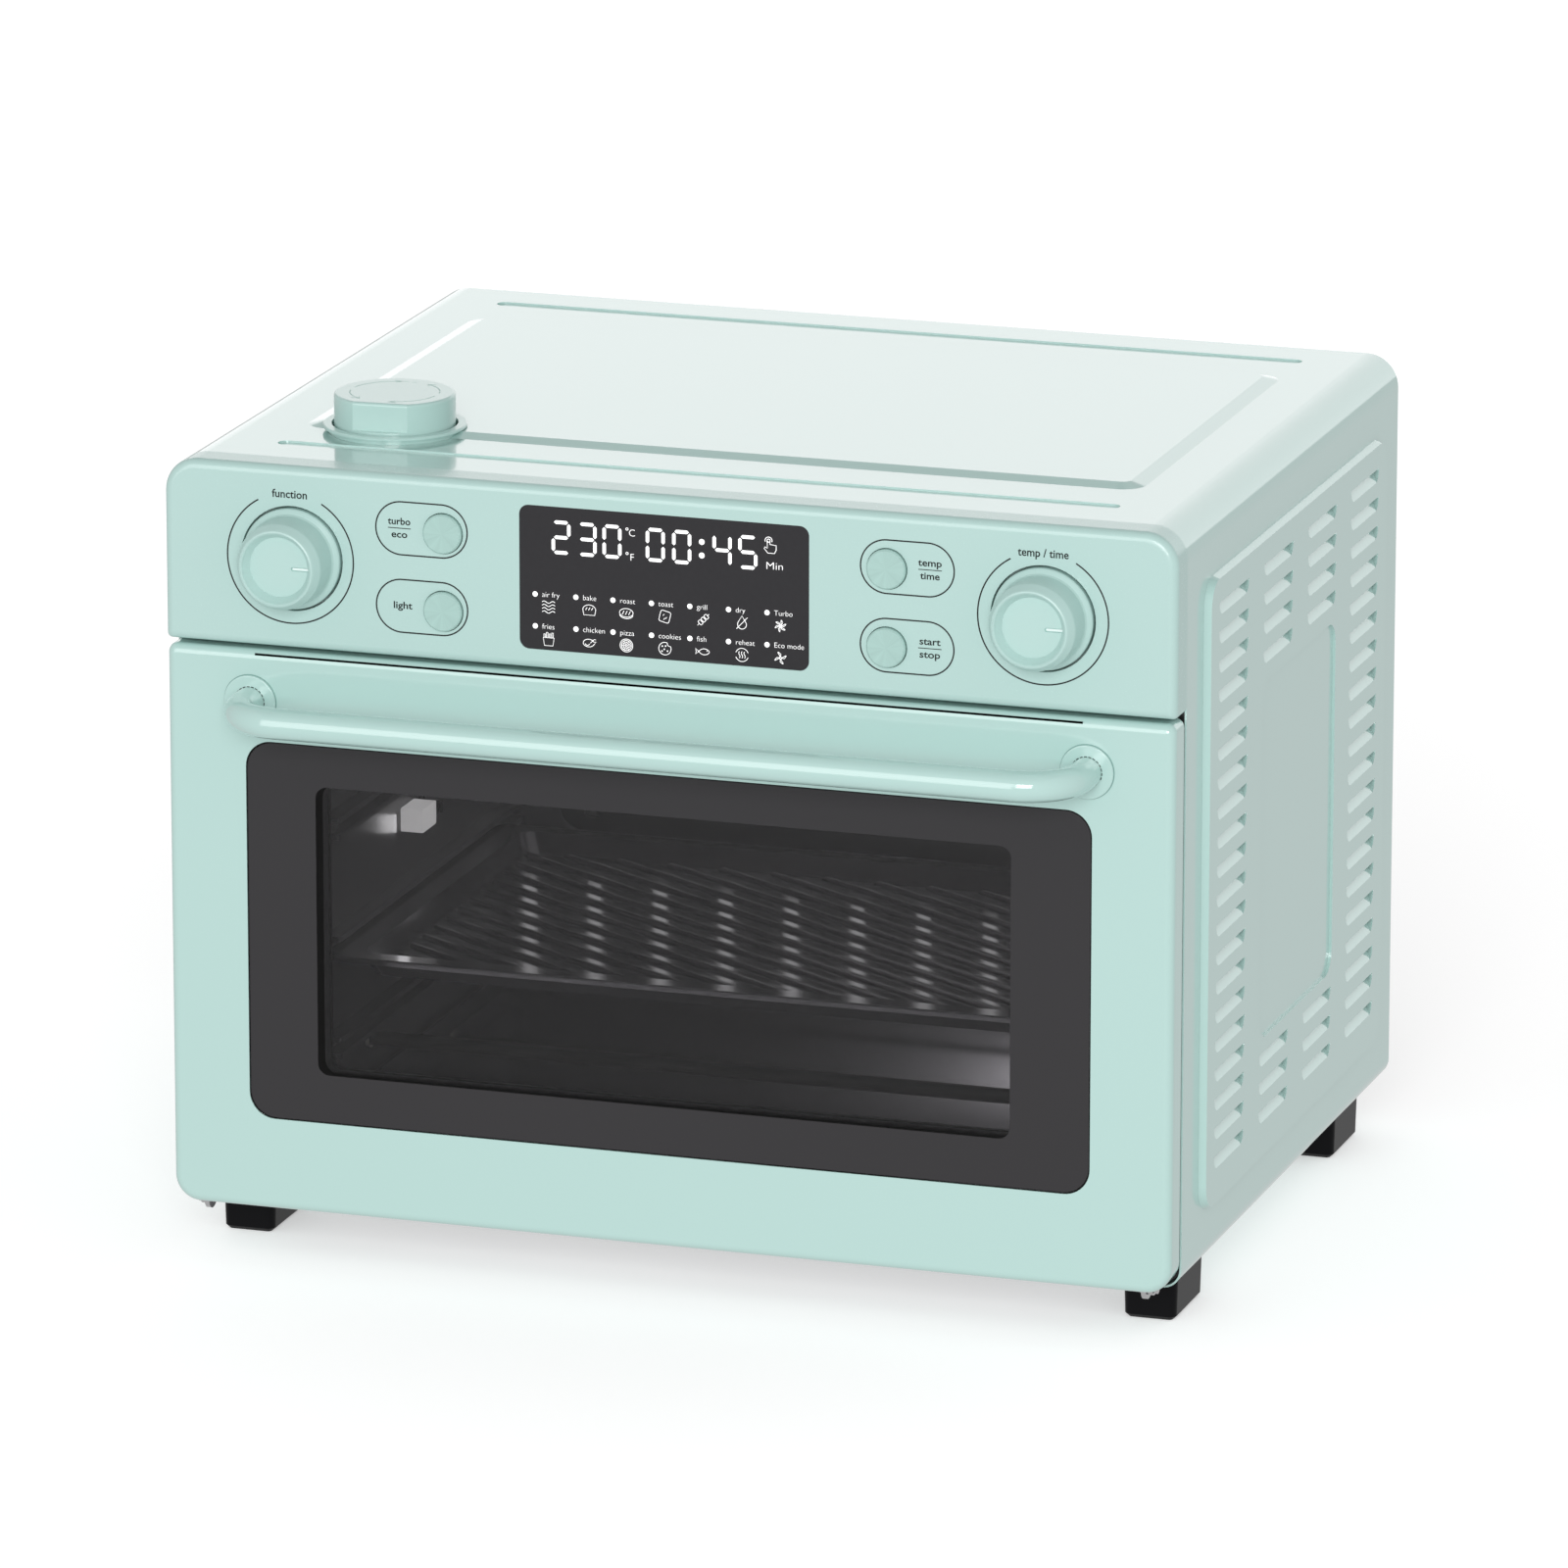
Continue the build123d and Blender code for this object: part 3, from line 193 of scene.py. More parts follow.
finishes = {
    "body_paint": surface("mint_enamel", MINT, 0.13, grain=1500, tint=0.012, rough_swing=0.02, bump=0.008,
                          coat=0.7),
    "fascia_paint": surface("mint_fascia", (0.480, 0.676, 0.640), 0.26, grain=1500, tint=0.012,
                            bump=0.015, coat=0.2),
    "knob_paint": surface("mint_knob", (0.478, 0.680, 0.642), 0.32, grain=2200, tint=0.015, bump=0.02),
    "button_paint": spun("mint_spun", (0.415, 0.616, 0.572), 0.34),
    "dial_paint": surface("mint_dial", MINT, 0.22, grain=1500, tint=0.012, bump=0.015, coat=0.3),
    "rear_paint": surface("rear_powder", (0.075, 0.085, 0.085), 0.55, grain=2600, tint=0.15, bump=0.25),
    "galvanised_steel": surface("zinc_spangle", (0.42, 0.43, 0.44), 0.38, metal=0.9, grain=160,
                                cells=True, tint=0.16, rough_swing=0.08),
    "bright_steel": surface("pressed_steel", (0.56, 0.56, 0.57), 0.28, metal=1.0, grain=300,
                            stretch=BRUSH, tint=0.10, rough_swing=0.08, bump=0.1),
    "screw_steel": surface("plated_screw", (0.45, 0.45, 0.46), 0.30, metal=1.0, grain=1400, tint=0.12),
    "foot_plastic": surface("foot_gloss", (0.005, 0.005, 0.006), 0.30, grain=1800, tint=0.2, bump=0.03,
                            specular=0.09),
    "black_plastic": surface("black_moulding", (0.010, 0.010, 0.011), 0.50, grain=2400, tint=0.2, bump=0.1),
    "display_glass": surface("smoked_lens", (0.027, 0.026, 0.029), 0.16, grain=500, tint=0.05,
                             specular=0.3),
    "circuit_board": surface("solder_resist", (0.010, 0.085, 0.035), 0.42, grain=900, tint=0.25, bump=0.1),
    "encoder_metal": surface("nickel", (0.50, 0.49, 0.46), 0.30, metal=1.0, grain=900, tint=0.08),
    "black_enamel": surface("black_heatproof", (0.014, 0.014, 0.015), 0.42, grain=1900, tint=0.2, bump=0.1),
    "dark_enamel": surface("cavity_enamel", (0.085, 0.084, 0.087), 0.30, grain=2100, tint=0.35,
                           rough_swing=0.08, bump=0.12),
    "insulation": surface("glass_fibre", (0.72, 0.66, 0.50), 0.95, grain=420, stretch=(1, 1, 7),
                          tint=0.2, bump=0.8),
    "heater_sheath": surface("heater_sheath", (0.022, 0.021, 0.021), 0.60, grain=700, tint=0.2,
                             bump=0.1, specular=0.15),
    "ceramic": surface("glazed_ceramic", (0.78, 0.76, 0.70), 0.25, grain=600, tint=0.05, coat=0.3),
    "fan_aluminium": surface("pressed_aluminium", (0.60, 0.61, 0.62), 0.35, metal=1.0, grain=260,
                             stretch=BRUSH, tint=0.08),
    "motor_steel": surface("motor_can", (0.035, 0.035, 0.038), 0.40, metal=0.3, grain=1200, tint=0.15),
    "lamp_glass": surface("lamp_glass", (0.95, 0.93, 0.88), 0.30, grain=300, stretch=(6, 1, 1),
                          tint=0.06, glow=0.34),
    "door_glass": glass("door_glass", (0.78, 0.77, 0.79), 0.0, 1.28),
    "inner_glass": glass("inner_glass", (0.90, 0.90, 0.90), 0.0, 1.12),
    "silicone": surface("silicone", (0.020, 0.020, 0.020), 0.60, grain=1500, tint=0.1, bump=0.05),
    "tray_enamel": surface("tray_enamel", (0.105, 0.102, 0.107), 0.13, metal=0.6, grain=1700, tint=0.25,
                           rough_swing=0.03, bump=0.03),
}

for part in frame["record"]["subparts"]:
    cad_node = frame["nodes"][part["node"]]
    for place in cad_node.material_slots:
        place.material = finishes[part["material_slot"]]


# ---------------------------------------------------------------- printed marks

class Ink:
    """Flat marks gathered on one plane, u to the right and v up, then given a print's thickness."""

    def __init__(self):
        self.bm = bmesh.new()

    def patch(self, outline):
        self.bm.faces.new([self.bm.verts.new((u, v, 0)) for u, v in outline])

    def dot(self, u, v, radius, sides=20):
        self.patch(arc(u, v, radius, 0, 360 - 360 / sides, sides))

    def line(self, points, width, closed=False):
        points = [Vector(p) for p in points]
        count = len(points)
        edges = []
        for i, point in enumerate(points):
            before = points[i - 1] if closed or i else point
            after = points[(i + 1) % count] if closed or i < count - 1 else point
            along = ((after - point).normalized() + (point - before).normalized()).normalized()
            across = Vector((-along.y, along.x)) * width / 2
            edges.append([self.bm.verts.new((*(point + side * across), 0)) for side in (1, -1)])
        for (a, b), (c, d) in zip(edges, edges[1:] + (edges[:1] if closed else [])):
            self.bm.faces.new((a, b, d, c))

    def word(self, text, u, v, height, width=None, align="CENTER", thin=0.0):
        """Text on a base line at v. Height is that of a tall letter; width stretches the word to fit."""
        curve = bpy.data.curves.new("word", "FONT")
        curve.body = text
        curve.size = height / 0.73
        curve.align_x = align
        curve.offset = -thin
        curve.resolution_u = 3
        holder = bpy.data.objects.new("word", curve)
        bpy.context.scene.collection.objects.link(holder)
        bpy.context.view_layer.update()
        mesh = bpy.data.meshes.new_from_object(holder)
        bpy.data.objects.remove(holder)
        across = [point.co.x for point in mesh.vertices]
        stretch = width / (max(across) - min(across)) if width else 1.0
        mesh.transform(Matrix.Translation((u, v, 0)) @ Matrix.Diagonal((stretch, 1, 1, 1)))
        self.bm.from_mesh(mesh)

    def lay(self, name, body, material, origin, right, up, thick=0.05 * MM):
        """Gives the marks their thickness, stands them on the plane and makes them ride."""
        bmesh.ops.remove_doubles(self.bm, verts=self.bm.verts, dist=1e-7)
        raised = bmesh.ops.extrude_face_region(self.bm, geom=self.bm.faces[:], use_keep_orig=True)
        lifted = [g for g in raised["geom"] if isinstance(g, bmesh.types.BMVert)]
        bmesh.ops.translate(self.bm, verts=lifted, vec=(0, 0, thick))
        bmesh.ops.recalc_face_normals(self.bm, faces=self.bm.faces[:])
        mesh = bpy.data.meshes.new(name)
        self.bm.to_mesh(mesh)
        self.bm.free()
        out = right.cross(up)
        mesh.transform(Matrix.Translation(origin) @ Matrix((right, up, out)).transposed().to_4x4())
        mesh.materials.append(material)
        piece = bpy.data.objects.new(name, mesh)
        bpy.context.scene.collection.objects.link(piece)
        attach(piece, body)
        return piece


def arc(u, v, radius, start, end, steps=24, squash=1.0):
    """Points on an arc, angles in degrees, anticlockwise from the right."""
    turns = [math.radians(start + (end - start) * i / (steps - 1)) for i in range(steps)]
    return [(u + radius * math.cos(t), v + squash * radius * math.sin(t)) for t in turns]


def rounded(u0, u1, v0, v1, radius, steps=10):
    corners = ((u1, v1, 0), (u0, v1, 90), (u0, v0, 180), (u1, v0, 270))
    outline = []
    for u, v, start in corners:
        cu = u - radius if u == u1 else u + radius
        cv = v - radius if v == v1 else v + radius
        outline += arc(cu, cv, radius, start, start + 90, steps)
    return outline


def middle(node):
    lo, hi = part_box(node)
    return (lo + hi) / 2


ink_black = surface("print_black", INK, 0.45, grain=2500, tint=0.15, specular=0.3)
ink_teal = surface("dial_lines", (0.36, 0.58, 0.52), 0.45, grain=2500, tint=0.05, specular=0.3)
ink_lit = surface("lit_print", (0.85, 0.85, 0.85), 0.5, grain=2500, tint=0.03, glow=0.75)

LINE = 0.60 * MM
RING_R = 27.25 * MM
RING_GAP = 30
PILL_R = 11.05 * MM
PILL_REACH = 28.2 * MM
LABEL_REACH = 18.1 * MM
LEFT_SHIFT = -0.65 * MM
TALL = 3.0 * MM
THIN = -0.06 * MM

fascia_face = Vector((0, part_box("control_fascia")[0].y, 0))
marks = Ink()


def knob_marks(shaft, label, width):
    at = middle(shaft)
    u = at.x + (LEFT_SHIFT if at.x < 0 else 0)
    marks.line(arc(u, at.z + 0.1 * MM, RING_R, 90 + RING_GAP, 450 - RING_GAP, 96), LINE)
    marks.word(label, u, at.z + 25.3 * MM, 3.5 * MM, width, thin=THIN)


def pill_marks(button, side, upper, lower=None):
    """A pill round a button and its label; side is 1 where the label is to the right."""
    at = middle(button)
    u, v = at.x + (LEFT_SHIFT if at.x < 0 else 0), at.z + 0.85 * MM
    ends = sorted((u - side * PILL_R, u + side * PILL_REACH))
    marks.line(rounded(*ends, v - PILL_R, v + PILL_R, PILL_R, 20), LINE, closed=True)
    label_u = u + side * LABEL_REACH
    if lower is None:
        marks.word(upper[0], label_u + 1.2 * MM, v - 1.1 * MM, TALL, upper[1], thin=THIN)
        return
    marks.word(upper[0], label_u, v + 1.5 * MM, TALL, upper[1], thin=THIN)
    marks.line([(label_u - 4.9 * MM, v), (label_u + 4.9 * MM, v)], 0.34 * MM)
    marks.word(lower[0], label_u, v - 3.9 * MM, TALL, lower[1], thin=THIN)


knob_marks("encoder_shaft_left", "function", 15.1 * MM)
knob_marks("encoder_shaft_right", "temp / time", 21.2 * MM)
pill_marks("button_upper_left", -1, ("turbo", 9.7 * MM), ("eco", 6.8 * MM))
pill_marks("button_lower_left", -1, ("light", 8.0 * MM))
pill_marks("button_upper_right", 1, ("temp", 9.9 * MM), ("time", 8.2 * MM))
pill_marks("button_lower_right", 1, ("start", 8.8 * MM), ("stop", 8.6 * MM))
marks.lay("fascia_print", "casing", ink_black, fascia_face, RIGHT, UP)


# ---------------------------------------------------------------- small fitted pieces

# A pale strip laid in each knob's pointer groove, lighter than the knob round it.
pale_pointer = surface("pale_pointer", (0.80, 0.92, 0.90), 0.35, grain=2500, tint=0.02)
GROOVE_DEPTH = 4.85 * MM
POINTER_REACH = (5.9 * MM, 12.9 * MM)
POINTER_RISE = (-0.75 * MM, 0.1 * MM)
for knob, body in (("knob_function", "function_knob"), ("knob_temperature", "temperature_knob")):
    at = middle(knob)
    knob_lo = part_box(knob)[0]
    pointer = Ink()
    pointer.patch(rounded(at.x + POINTER_REACH[0], at.x + POINTER_REACH[1],
                          at.z + POINTER_RISE[0], at.z + POINTER_RISE[1], 0.4 * MM, 6))
    pointer.lay(f"pointer_{body}", body, pale_pointer,
                Vector((0, knob_lo.y + GROOVE_DEPTH, 0)), RIGHT, UP, thick=0.45 * MM)

door_lo, door_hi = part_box("door_frame")
shade_black = surface("shade_black", (0.003, 0.003, 0.003), 0.9, grain=900, tint=0.3, specular=0.0)
SLOT_HALF = 176.2 * MM
SLOT_DROP = (2.2 * MM, 1.45 * MM)
# Painted shadow: a black strip 0.4 mm behind the door's face, just below its top edge, standing for the dark
# inside of the vent slot.
slot_shadow_strip = Ink()
slot_low, slot_high = door_hi.z - SLOT_DROP[0], door_hi.z - SLOT_DROP[1]
slot_shadow_strip.patch([(-SLOT_HALF, slot_low), (SLOT_HALF, slot_low), (SLOT_HALF, slot_high), (-SLOT_HALF, slot_high)])
slot_shadow_strip.lay("slot_painted_shadow", "door", shade_black,
           Vector((0, door_lo.y + 0.4 * MM, 0)), RIGHT, UP)

rosette_lo, rosette_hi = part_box("handle_rosettes")
TUBE_R = 6.4 * MM
ROSETTE_R = 11.2 * MM
# Painted shadow: short dark arcs round the foot of each handle leg, on its right and upper side only,
# standing for shade in the gap where the tube meets the rosette.
seam_shadow_dashes = Ink()
for x in (rosette_lo.x + ROSETTE_R, rosette_hi.x - ROSETTE_R):
    z = (rosette_lo.z + rosette_hi.z) / 2
    for start in range(-24, 140, 16):
        seam_shadow_dashes.line(arc(x, z, TUBE_R + 0.10 * MM, start, start + 11, 6), 0.32 * MM)
seam_shadow_dashes.lay("handle_seam_shadow", "door", shade_black,
          Vector((0, rosette_lo.y + 0.01 * MM, 0)), RIGHT, UP)

# Painted shade: a thin darker mint ring just outside each rosette, standing for the shaded edge of the
# rosette.
shade_mint = surface("shade_mint", (0.20, 0.36, 0.33), 0.5, grain=1500, tint=0.1, specular=0.2)
rim_shade_ring = Ink()
for x in (rosette_lo.x + ROSETTE_R, rosette_hi.x - ROSETTE_R):
    z = (rosette_lo.z + rosette_hi.z) / 2
    rim_shade_ring.line(arc(x, z, ROSETTE_R + 0.12 * MM, 0, 354, 60), 0.3 * MM, closed=True)
rim_shade_ring.lay("rosette_rim_shade", "door", shade_mint, Vector((0, door_lo.y, 0)), RIGHT, UP)


# ---------------------------------------------------------------- display

DIGIT_W = 8.1 * MM
DIGIT_H = 14.0 * MM
BAR = 1.45 * MM
BAR_GAP = 1.35 * MM
DIGIT_TOP = 5.6 * MM
BARS_LIT = {"0": "abcdef", "2": "abdeg", "3": "abcdg", "4": "bcfg", "5": "acdfg"}

lens_lo, lens_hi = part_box("display_lens")
graphics = Ink()


def bar(u, v, length, upright):
    """One bar of a digit, with pointed ends."""
    half, thick = length / 2, BAR / 2
    outline = [(-half, 0), (thick - half, -thick), (half - thick, -thick),
               (half, 0), (half - thick, thick), (thick - half, thick)]
    graphics.patch([(u - b, v + a) if upright else (u + a, v + b) for a, b in outline])


def digit(figure, u, top):
    flat = DIGIT_W - BAR_GAP - BAR / 2
    tall = DIGIT_H / 2 - BAR_GAP - BAR / 4
    left, right = u - (DIGIT_W - BAR) / 2, u + (DIGIT_W - BAR) / 2
    high, low = top - BAR / 2, top - DIGIT_H + BAR / 2
    centre = (high + low) / 2
    places = {
        "a": (u, high, flat, False), "g": (u, centre, flat, False), "d": (u, low, flat, False),
        "f": (left, (high + centre) / 2, tall, True), "b": (right, (high + centre) / 2, tall, True),
        "e": (left, (low + centre) / 2, tall, True), "c": (right, (low + centre) / 2, tall, True),
    }
    for name in BARS_LIT[figure]:
        bar(*places[name])


digit_top = lens_hi.z - DIGIT_TOP
DIGITS_AT = (("2", 17.7), ("3", 28.8), ("0", 39.4), ("0", 57.8), ("0", 69.0), ("4", 86.1), ("5", 97.0))
for figure, place in DIGITS_AT:
    digit(figure, lens_lo.x + place * MM, digit_top)
for share in (0.30, 0.70):
    graphics.dot(lens_lo.x + 77.5 * MM, digit_top - share * DIGIT_H, 1.2 * MM)

unit_u = lens_lo.x + 47.9 * MM
for letter, base in (("C", 4.2), ("F", 14.3)):
    graphics.word(letter, unit_u, digit_top - base * MM, 3.1 * MM, thin=0.06 * MM)
    graphics.line(arc(unit_u - 2.1 * MM, digit_top - (base - 2.9) * MM, 0.5 * MM, 0, 324, 10),
                  0.25 * MM, closed=True)
graphics.word("Min", lens_lo.x + 108.3 * MM, digit_top - 13.3 * MM, 3.2 * MM, 6.9 * MM, thin=0.06 * MM)


class Pen:
    """Draws an icon in a square from -1 to 1."""

    def __init__(self, u, v, size=2.75 * MM, width=0.22 * MM):
        self.u, self.v, self.size, self.width = u, v, size, width

    def line(self, points, closed=False):
        graphics.line([(self.u + self.size * a, self.v + self.size * b) for a, b in points],
                      self.width, closed)

    def dot(self, a, b, radius=0.09):
        graphics.dot(self.u + self.size * a, self.v + self.size * b, radius * self.size, 10)

    def ring(self, a, b, radius, squash=1.0):
        self.line(arc(a, b, radius, 0, 345, 24, squash), closed=True)


def wave(u0, u1, v, height, turns, upright=False):
    steps = [i / 20 for i in range(21)]
    points = [(u0 + (u1 - u0) * s, v + height * math.sin(2 * math.pi * turns * s)) for s in steps]
    return [(b, a) for a, b in points] if upright else points


def turned(points, degrees):
    c, s = math.cos(math.radians(degrees)), math.sin(math.radians(degrees))
    return [(c * a - s * b, s * a + c * b) for a, b in points]


def petals(pen, count, reach, breadth):
    for i in range(count):
        leaf = [(0.12 + reach * math.sin(math.pi * s / 12) ** 0.8 * 0.5 + reach * 0.5 * s / 12,
                 breadth * math.sin(math.pi * s / 12)) for s in range(13)]
        pen.line(turned(leaf, 360 * i / count))
        pen.line(turned([(0.12, 0), (0.12 + reach * 0.5, -0.06)], 360 * i / count))


def icon_air(pen):
    for row in (0.75, 0.25, -0.25, -0.75):
        pen.line(wave(-1, 1, row, 0.16, 1.5))


def icon_loaf(pen):
    pen.line(arc(0, 0.1, 1.0, 0, 180, 16, 0.75) + [(-0.85, -0.7), (0.85, -0.7)], closed=True)
    for a in (-0.45, 0, 0.45):
        pen.line([(a - 0.12, 0.05), (a + 0.12, 0.45)])


def icon_roast(pen):
    pen.ring(0, 0.1, 1.05, 0.62)
    pen.line(arc(0, -0.12, 1.05, 190, 350, 16, 0.62))
    for a in (-0.5, 0, 0.5):
        pen.line([(a - 0.14, -0.2), (a + 0.14, 0.4)])


def icon_toast(pen):
    slice_edge = rounded(-0.8, 0.8, -0.85, 0.85, 0.3, 5)
    pen.line(turned(slice_edge, -14), closed=True)
    for a, b in ((-0.2, 0.25), (0.2, -0.2), (-0.1, -0.35)):
        pen.line([(a - 0.1, b - 0.12), (a + 0.1, b + 0.12)])


def icon_skewer(pen):
    for start, end in ((-1.25, -0.85), (-0.35, -0.22), (0.28, 0.42), (0.92, 1.25)):
        pen.line(turned([(start, 0), (end, 0)], 45))
    for a in (-0.6, 0.03, 0.67):
        block = [(a + p, q) for p, q in rounded(-0.24, 0.24, -0.36, 0.36, 0.12, 4)]
        pen.line(turned(block, 45), closed=True)


def icon_drop(pen):
    pen.line([(0, 1.05)] + arc(0, -0.25, 0.68, 150, 390, 18), closed=True)
    pen.line([(-0.85, -0.95), (0.85, 0.85)])


def icon_turbo(pen):
    petals(pen, 6, 0.9, 0.34)
    pen.ring(0, 0, 0.14)


def icon_fries(pen):
    pen.line([(-0.85, 0.2), (-0.65, -1.0), (0.65, -1.0), (0.85, 0.2)], closed=True)
    for a, top in ((-0.62, 0.75), (-0.22, 1.0), (0.2, 0.8), (0.6, 0.95)):
        pen.line([(a - 0.11, 0.25), (a - 0.13, top), (a + 0.11, top), (a + 0.11, 0.25)])


def icon_bird(pen):
    pen.line(arc(-0.1, -0.1, 0.85, 20, 340, 20, 0.68) + [(1.05, 0.15)], closed=True)
    pen.line([(0.15, -0.1), (0.75, 0.5), (1.0, 0.45)])
    pen.line(arc(-0.3, -0.1, 0.35, 200, 340, 8))


def icon_pizza(pen):
    pen.ring(0, 0, 0.98)
    pen.ring(0, 0, 0.76)
    for turn in range(0, 360, 60):
        pen.line(turned([(0.08, 0), (0.76, 0)], turn))
        pen.dot(*turned([(0.48, 0)], turn + 30)[0], 0.1)


def icon_cookie(pen):
    pen.line(arc(0, 0, 0.95, 75, 375, 24) + arc(0.78, 0.78, 0.42, 280, 170, 6), closed=True)
    for a, b in ((-0.4, 0.35), (-0.1, -0.1), (0.4, -0.35), (-0.45, -0.4), (0.1, 0.4)):
        pen.dot(a, b, 0.11)


def icon_fish(pen):
    body = arc(0.15, -0.55, 1.0, 148, 40, 12) + arc(0.15, 0.55, 1.0, -40, -148, 12)
    pen.line(body)
    pen.line([(-0.66, -0.02), (-1.2, 0.42), (-1.08, 0), (-1.2, -0.42), (-0.66, 0.02)])
    pen.dot(0.6, 0.12, 0.07)


def icon_reheat(pen):
    pen.line(arc(0, 0, 1.0, 20, 160, 16))
    pen.line(arc(0, 0, 1.0, 200, 340, 16))
    for a in (-0.4, 0, 0.4):
        pen.line(wave(-0.5, 0.5, a, 0.1, 1, upright=True))


def icon_eco(pen):
    petals(pen, 4, 0.95, 0.4)
    pen.ring(0, 0, 0.16)


ROWS = (
    (36.9, (("air fry", icon_air), ("bake", icon_loaf), ("roast", icon_roast), ("toast", icon_toast),
            ("grill", icon_skewer), ("dry", icon_drop), ("Turbo", icon_turbo))),
    (50.2, (("fries", icon_fries), ("chicken", icon_bird), ("pizza", icon_pizza),
            ("cookies", icon_cookie), ("fish", icon_fish), ("reheat", icon_reheat),
            ("Eco mode", icon_eco))),
)
COLUMNS = (6.5, 23.9, 39.7, 56.1, 72.4, 88.8, 105.1)

for drop, entries in ROWS:
    v = lens_hi.z - drop * MM
    for column, (name, icon) in enumerate(entries):
        u = lens_lo.x + COLUMNS[column] * MM
        graphics.dot(u, v, 1.1 * MM)
        graphics.word(name, u + 2.9 * MM, v - 0.95 * MM, 2.3 * MM, align="LEFT", thin=0.05 * MM)
        icon(Pen(u + 5.7 * MM, v - 5.1 * MM))

hand = Pen(lens_lo.x + 106.6 * MM, digit_top - 3.5 * MM, size=3.3 * MM, width=0.26 * MM)
hand.ring(-0.25, 0.62, 0.2)
hand.line(arc(-0.25, 0.62, 0.45, -20, 200, 14))
hand.line([(-0.42, 0.5), (-0.42, -0.35), (-0.72, -0.2), (-0.82, -0.4), (-0.35, -0.95), (0.5, -0.95),
           (0.72, -0.5), (0.72, 0.05), (-0.08, 0.15), (-0.08, 0.5)])
graphics.lay("display_print", "casing", ink_lit, Vector((0, lens_lo.y, 0)), RIGHT, UP)


# ---------------------------------------------------------------- vent dial marks

DIAL_RING = 18.5 * MM
dial_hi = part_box("vent_dial")[1]
dial_at = middle("vent_dial")
dial_marks = Ink()
for start, end in ((100, 172), (188, 238), (282, 352), (8, 62)):
    dial_marks.line(arc(0, 0, DIAL_RING, start, end, 20), 0.36 * MM)
for turn in (100, 238, 282, 62):
    tip = arc(0, 0, DIAL_RING, turn, turn, 2)[0]
    wings = [(1 if turn in (238, 62) else -1) * w for w in (9, 9)]
    for side, wing in ((1.9, wings[0]), (-1.9, wings[1])):
        tail = arc(0, 0, DIAL_RING + side * MM, turn - wing, turn - wing, 2)[0]
        dial_marks.line([tip, tail], 0.32 * MM)
for turn in (84, 96):
    dial_marks.line(arc(0, 0, DIAL_RING, turn - 3, turn + 2, 4), 0.36 * MM)
dial_marks.lay("dial_marks", "vent", ink_teal,
               Vector((dial_at.x, dial_at.y, dial_hi.z)), RIGHT, BACK, thick=0.04 * MM)


# ---------------------------------------------------------------- dark border of the door glass

pane_lo, pane_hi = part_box("door_glass_outer")
BORDER_INSET = 0.5 * MM
PANE_CORNER = 11 * MM
WINDOW_LEFT, WINDOW_RIGHT = -150.5 * MM, 146.6 * MM
WINDOW_UP = (82.0 * MM, 204.6 * MM)
WINDOW_CORNER = 5 * MM

border = Ink()
outer_edge = rounded(pane_lo.x + BORDER_INSET, pane_hi.x - BORDER_INSET, pane_lo.z + BORDER_INSET,
                     pane_hi.z - BORDER_INSET, PANE_CORNER, 12)
inner_edge = rounded(WINDOW_LEFT, WINDOW_RIGHT, *WINDOW_UP, WINDOW_CORNER, 12)
outer_ring = [border.bm.verts.new((u, v, 0)) for u, v in outer_edge]
inner_ring = [border.bm.verts.new((u, v, 0)) for u, v in inner_edge]
for i in range(len(outer_ring)):
    border.bm.faces.new((outer_ring[i - 1], outer_ring[i], inner_ring[i], inner_ring[i - 1]))
frit = surface("dark_border", (0.038, 0.0365, 0.039), 0.5, grain=2500, tint=0.06, specular=0.15)
border.lay("glass_border", "door", frit, Vector((0, pane_lo.y, 0)), RIGHT, UP)


# ---------------------------------------------------------------- floor and light

def card(name, width, height, material):
    bm = bmesh.new()
    bmesh.ops.create_grid(bm, x_segments=1, y_segments=1, size=0.5)
    bmesh.ops.scale(bm, verts=bm.verts, vec=(width, height, 1))
    mesh = bpy.data.meshes.new(name)
    bm.to_mesh(mesh)
    bm.free()
    mesh.materials.append(material)
    plane = bpy.data.objects.new(name, mesh)
    bpy.context.scene.collection.objects.link(plane)
    return plane


def softbox(name, centre, aim, width, height, power):
    data = bpy.data.lights.new(name, "AREA")
    data.shape = "RECTANGLE"
    data.size = width
    data.size_y = height
    data.energy = power
    light = bpy.data.objects.new(name, data)
    light.location = centre
    light.rotation_euler = (Vector(aim) - Vector(centre)).to_track_quat("-Z", "Y").to_euler()
    light.visible_camera = False
    light.visible_transmission = False
    bpy.context.scene.collection.objects.link(light)
    return light


floor_paint = surface("floor_white", (0.85, 0.85, 0.85), 0.9, grain=3, tint=0.002, specular=0.0, glow=0.43)
floor = card("floor", 40, 40, floor_paint)
floor.location.z = cad_lo.z
floor.visible_diffuse = False
floor.visible_glossy = False

SKY = 0.65
world = bpy.data.worlds.new("studio")
world.use_nodes = True
bpy.context.scene.world = world
sky = world.node_tree
sky.nodes["Background"].inputs["Color"].default_value = (1, 1, 1, 1)
sky.nodes["Background"].inputs["Strength"].default_value = SKY

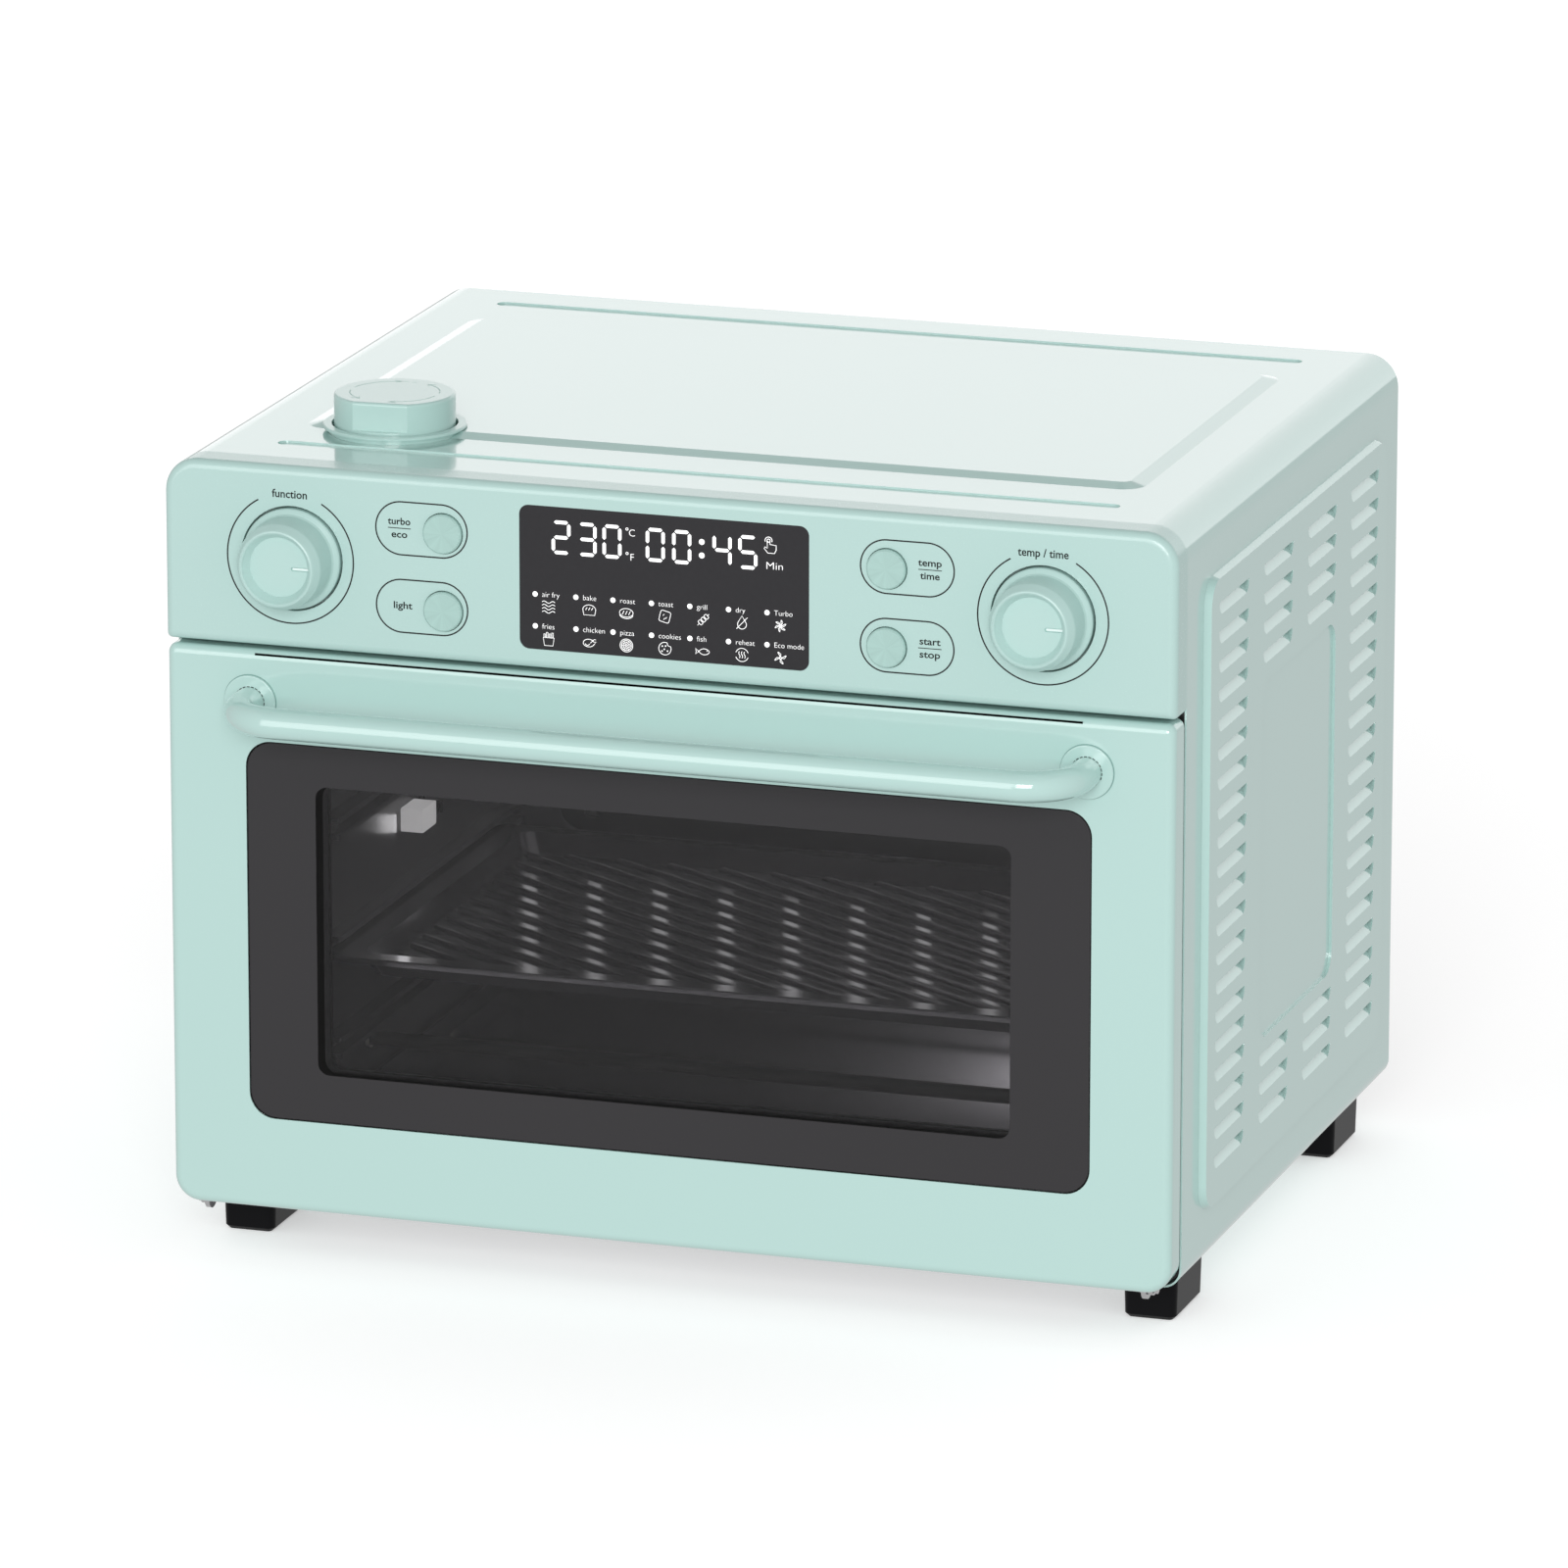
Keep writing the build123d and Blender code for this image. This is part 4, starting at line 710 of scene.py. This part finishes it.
BODY_MIDDLE = ((cad_lo + cad_hi) / 2)[:]
softbox("key", (0.75, -3.4, 1.25), BODY_MIDDLE, 1.5, 1.5, 60)
FLAG_HEIGHT = 0.6
flag_grey = surface("flag_grey", (0.02, 0.02, 0.02), 0.9, grain=3, tint=0.1, specular=0.0, glow=0.30)
flag = card("flag", 1.2, 1.2, flag_grey)
flag.location.z = cad_hi.z + FLAG_HEIGHT
flag.visible_camera = False
softbox("back_card", (-0.2, 3.2, 1.05), (0, 0, 0.3), 4.4, 1.5, 16.5)
edge_card = softbox("edge_card", (-1.2, -3.3, 1.0), (0, 0, 0.3), 2.2, 2.4, 41)
edge_card.visible_diffuse = False

lamp_lo, lamp_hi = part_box("lamp_lens")
lamp_at = middle("lamp_lens")
softbox("oven_lamp", (lamp_lo.x + 5 * MM, lamp_lo.y - 7 * MM, lamp_at.z),
        (lamp_lo.x - 25 * MM, lamp_lo.y - 60 * MM, lamp_at.z), 8 * MM, 8 * MM, 0.0006)

STRIPES = 10
STRIPE_START = -157.5 * MM
STRIPE_FOOT = 133 * MM
STRIPE_TALL = 96 * MM
STRIPE_PITCH = 29.8 * MM
guard_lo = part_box("fan_guard")[0]
for i in range(STRIPES):
    stripe_x = STRIPE_START + i * STRIPE_PITCH
    stripe_at = (stripe_x, guard_lo.y - 2 * MM, STRIPE_FOOT + STRIPE_TALL / 2)
    softbox(f"guard_glint_{i}", stripe_at, (stripe_x, guard_lo.y - 1, stripe_at[2]), 6 * MM,
            STRIPE_TALL, 0.0020)
pan_lo, pan_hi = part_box("crumb_tray")
GLOW_INSET = 25 * MM
GLOW_BACK = 170 * MM
GLOW_HEIGHT = 42 * MM
glow_x = pan_hi.x - GLOW_INSET
floor_glow = softbox("floor_glow", (glow_x, pan_lo.y + GLOW_BACK, pan_hi.z + GLOW_HEIGHT),
                     (glow_x, pan_lo.y + GLOW_BACK - 1 * MM, pan_lo.z), 60 * MM, 30 * MM, 0.6)
floor_glow.visible_glossy = False
liner_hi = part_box("cavity_liner")[1]
FILL_DROP = 20 * MM
softbox("oven_fill", (0, 0.02, liner_hi.z - FILL_DROP), (0, 0.02, 0), 240 * MM, 160 * MM, 0.06)
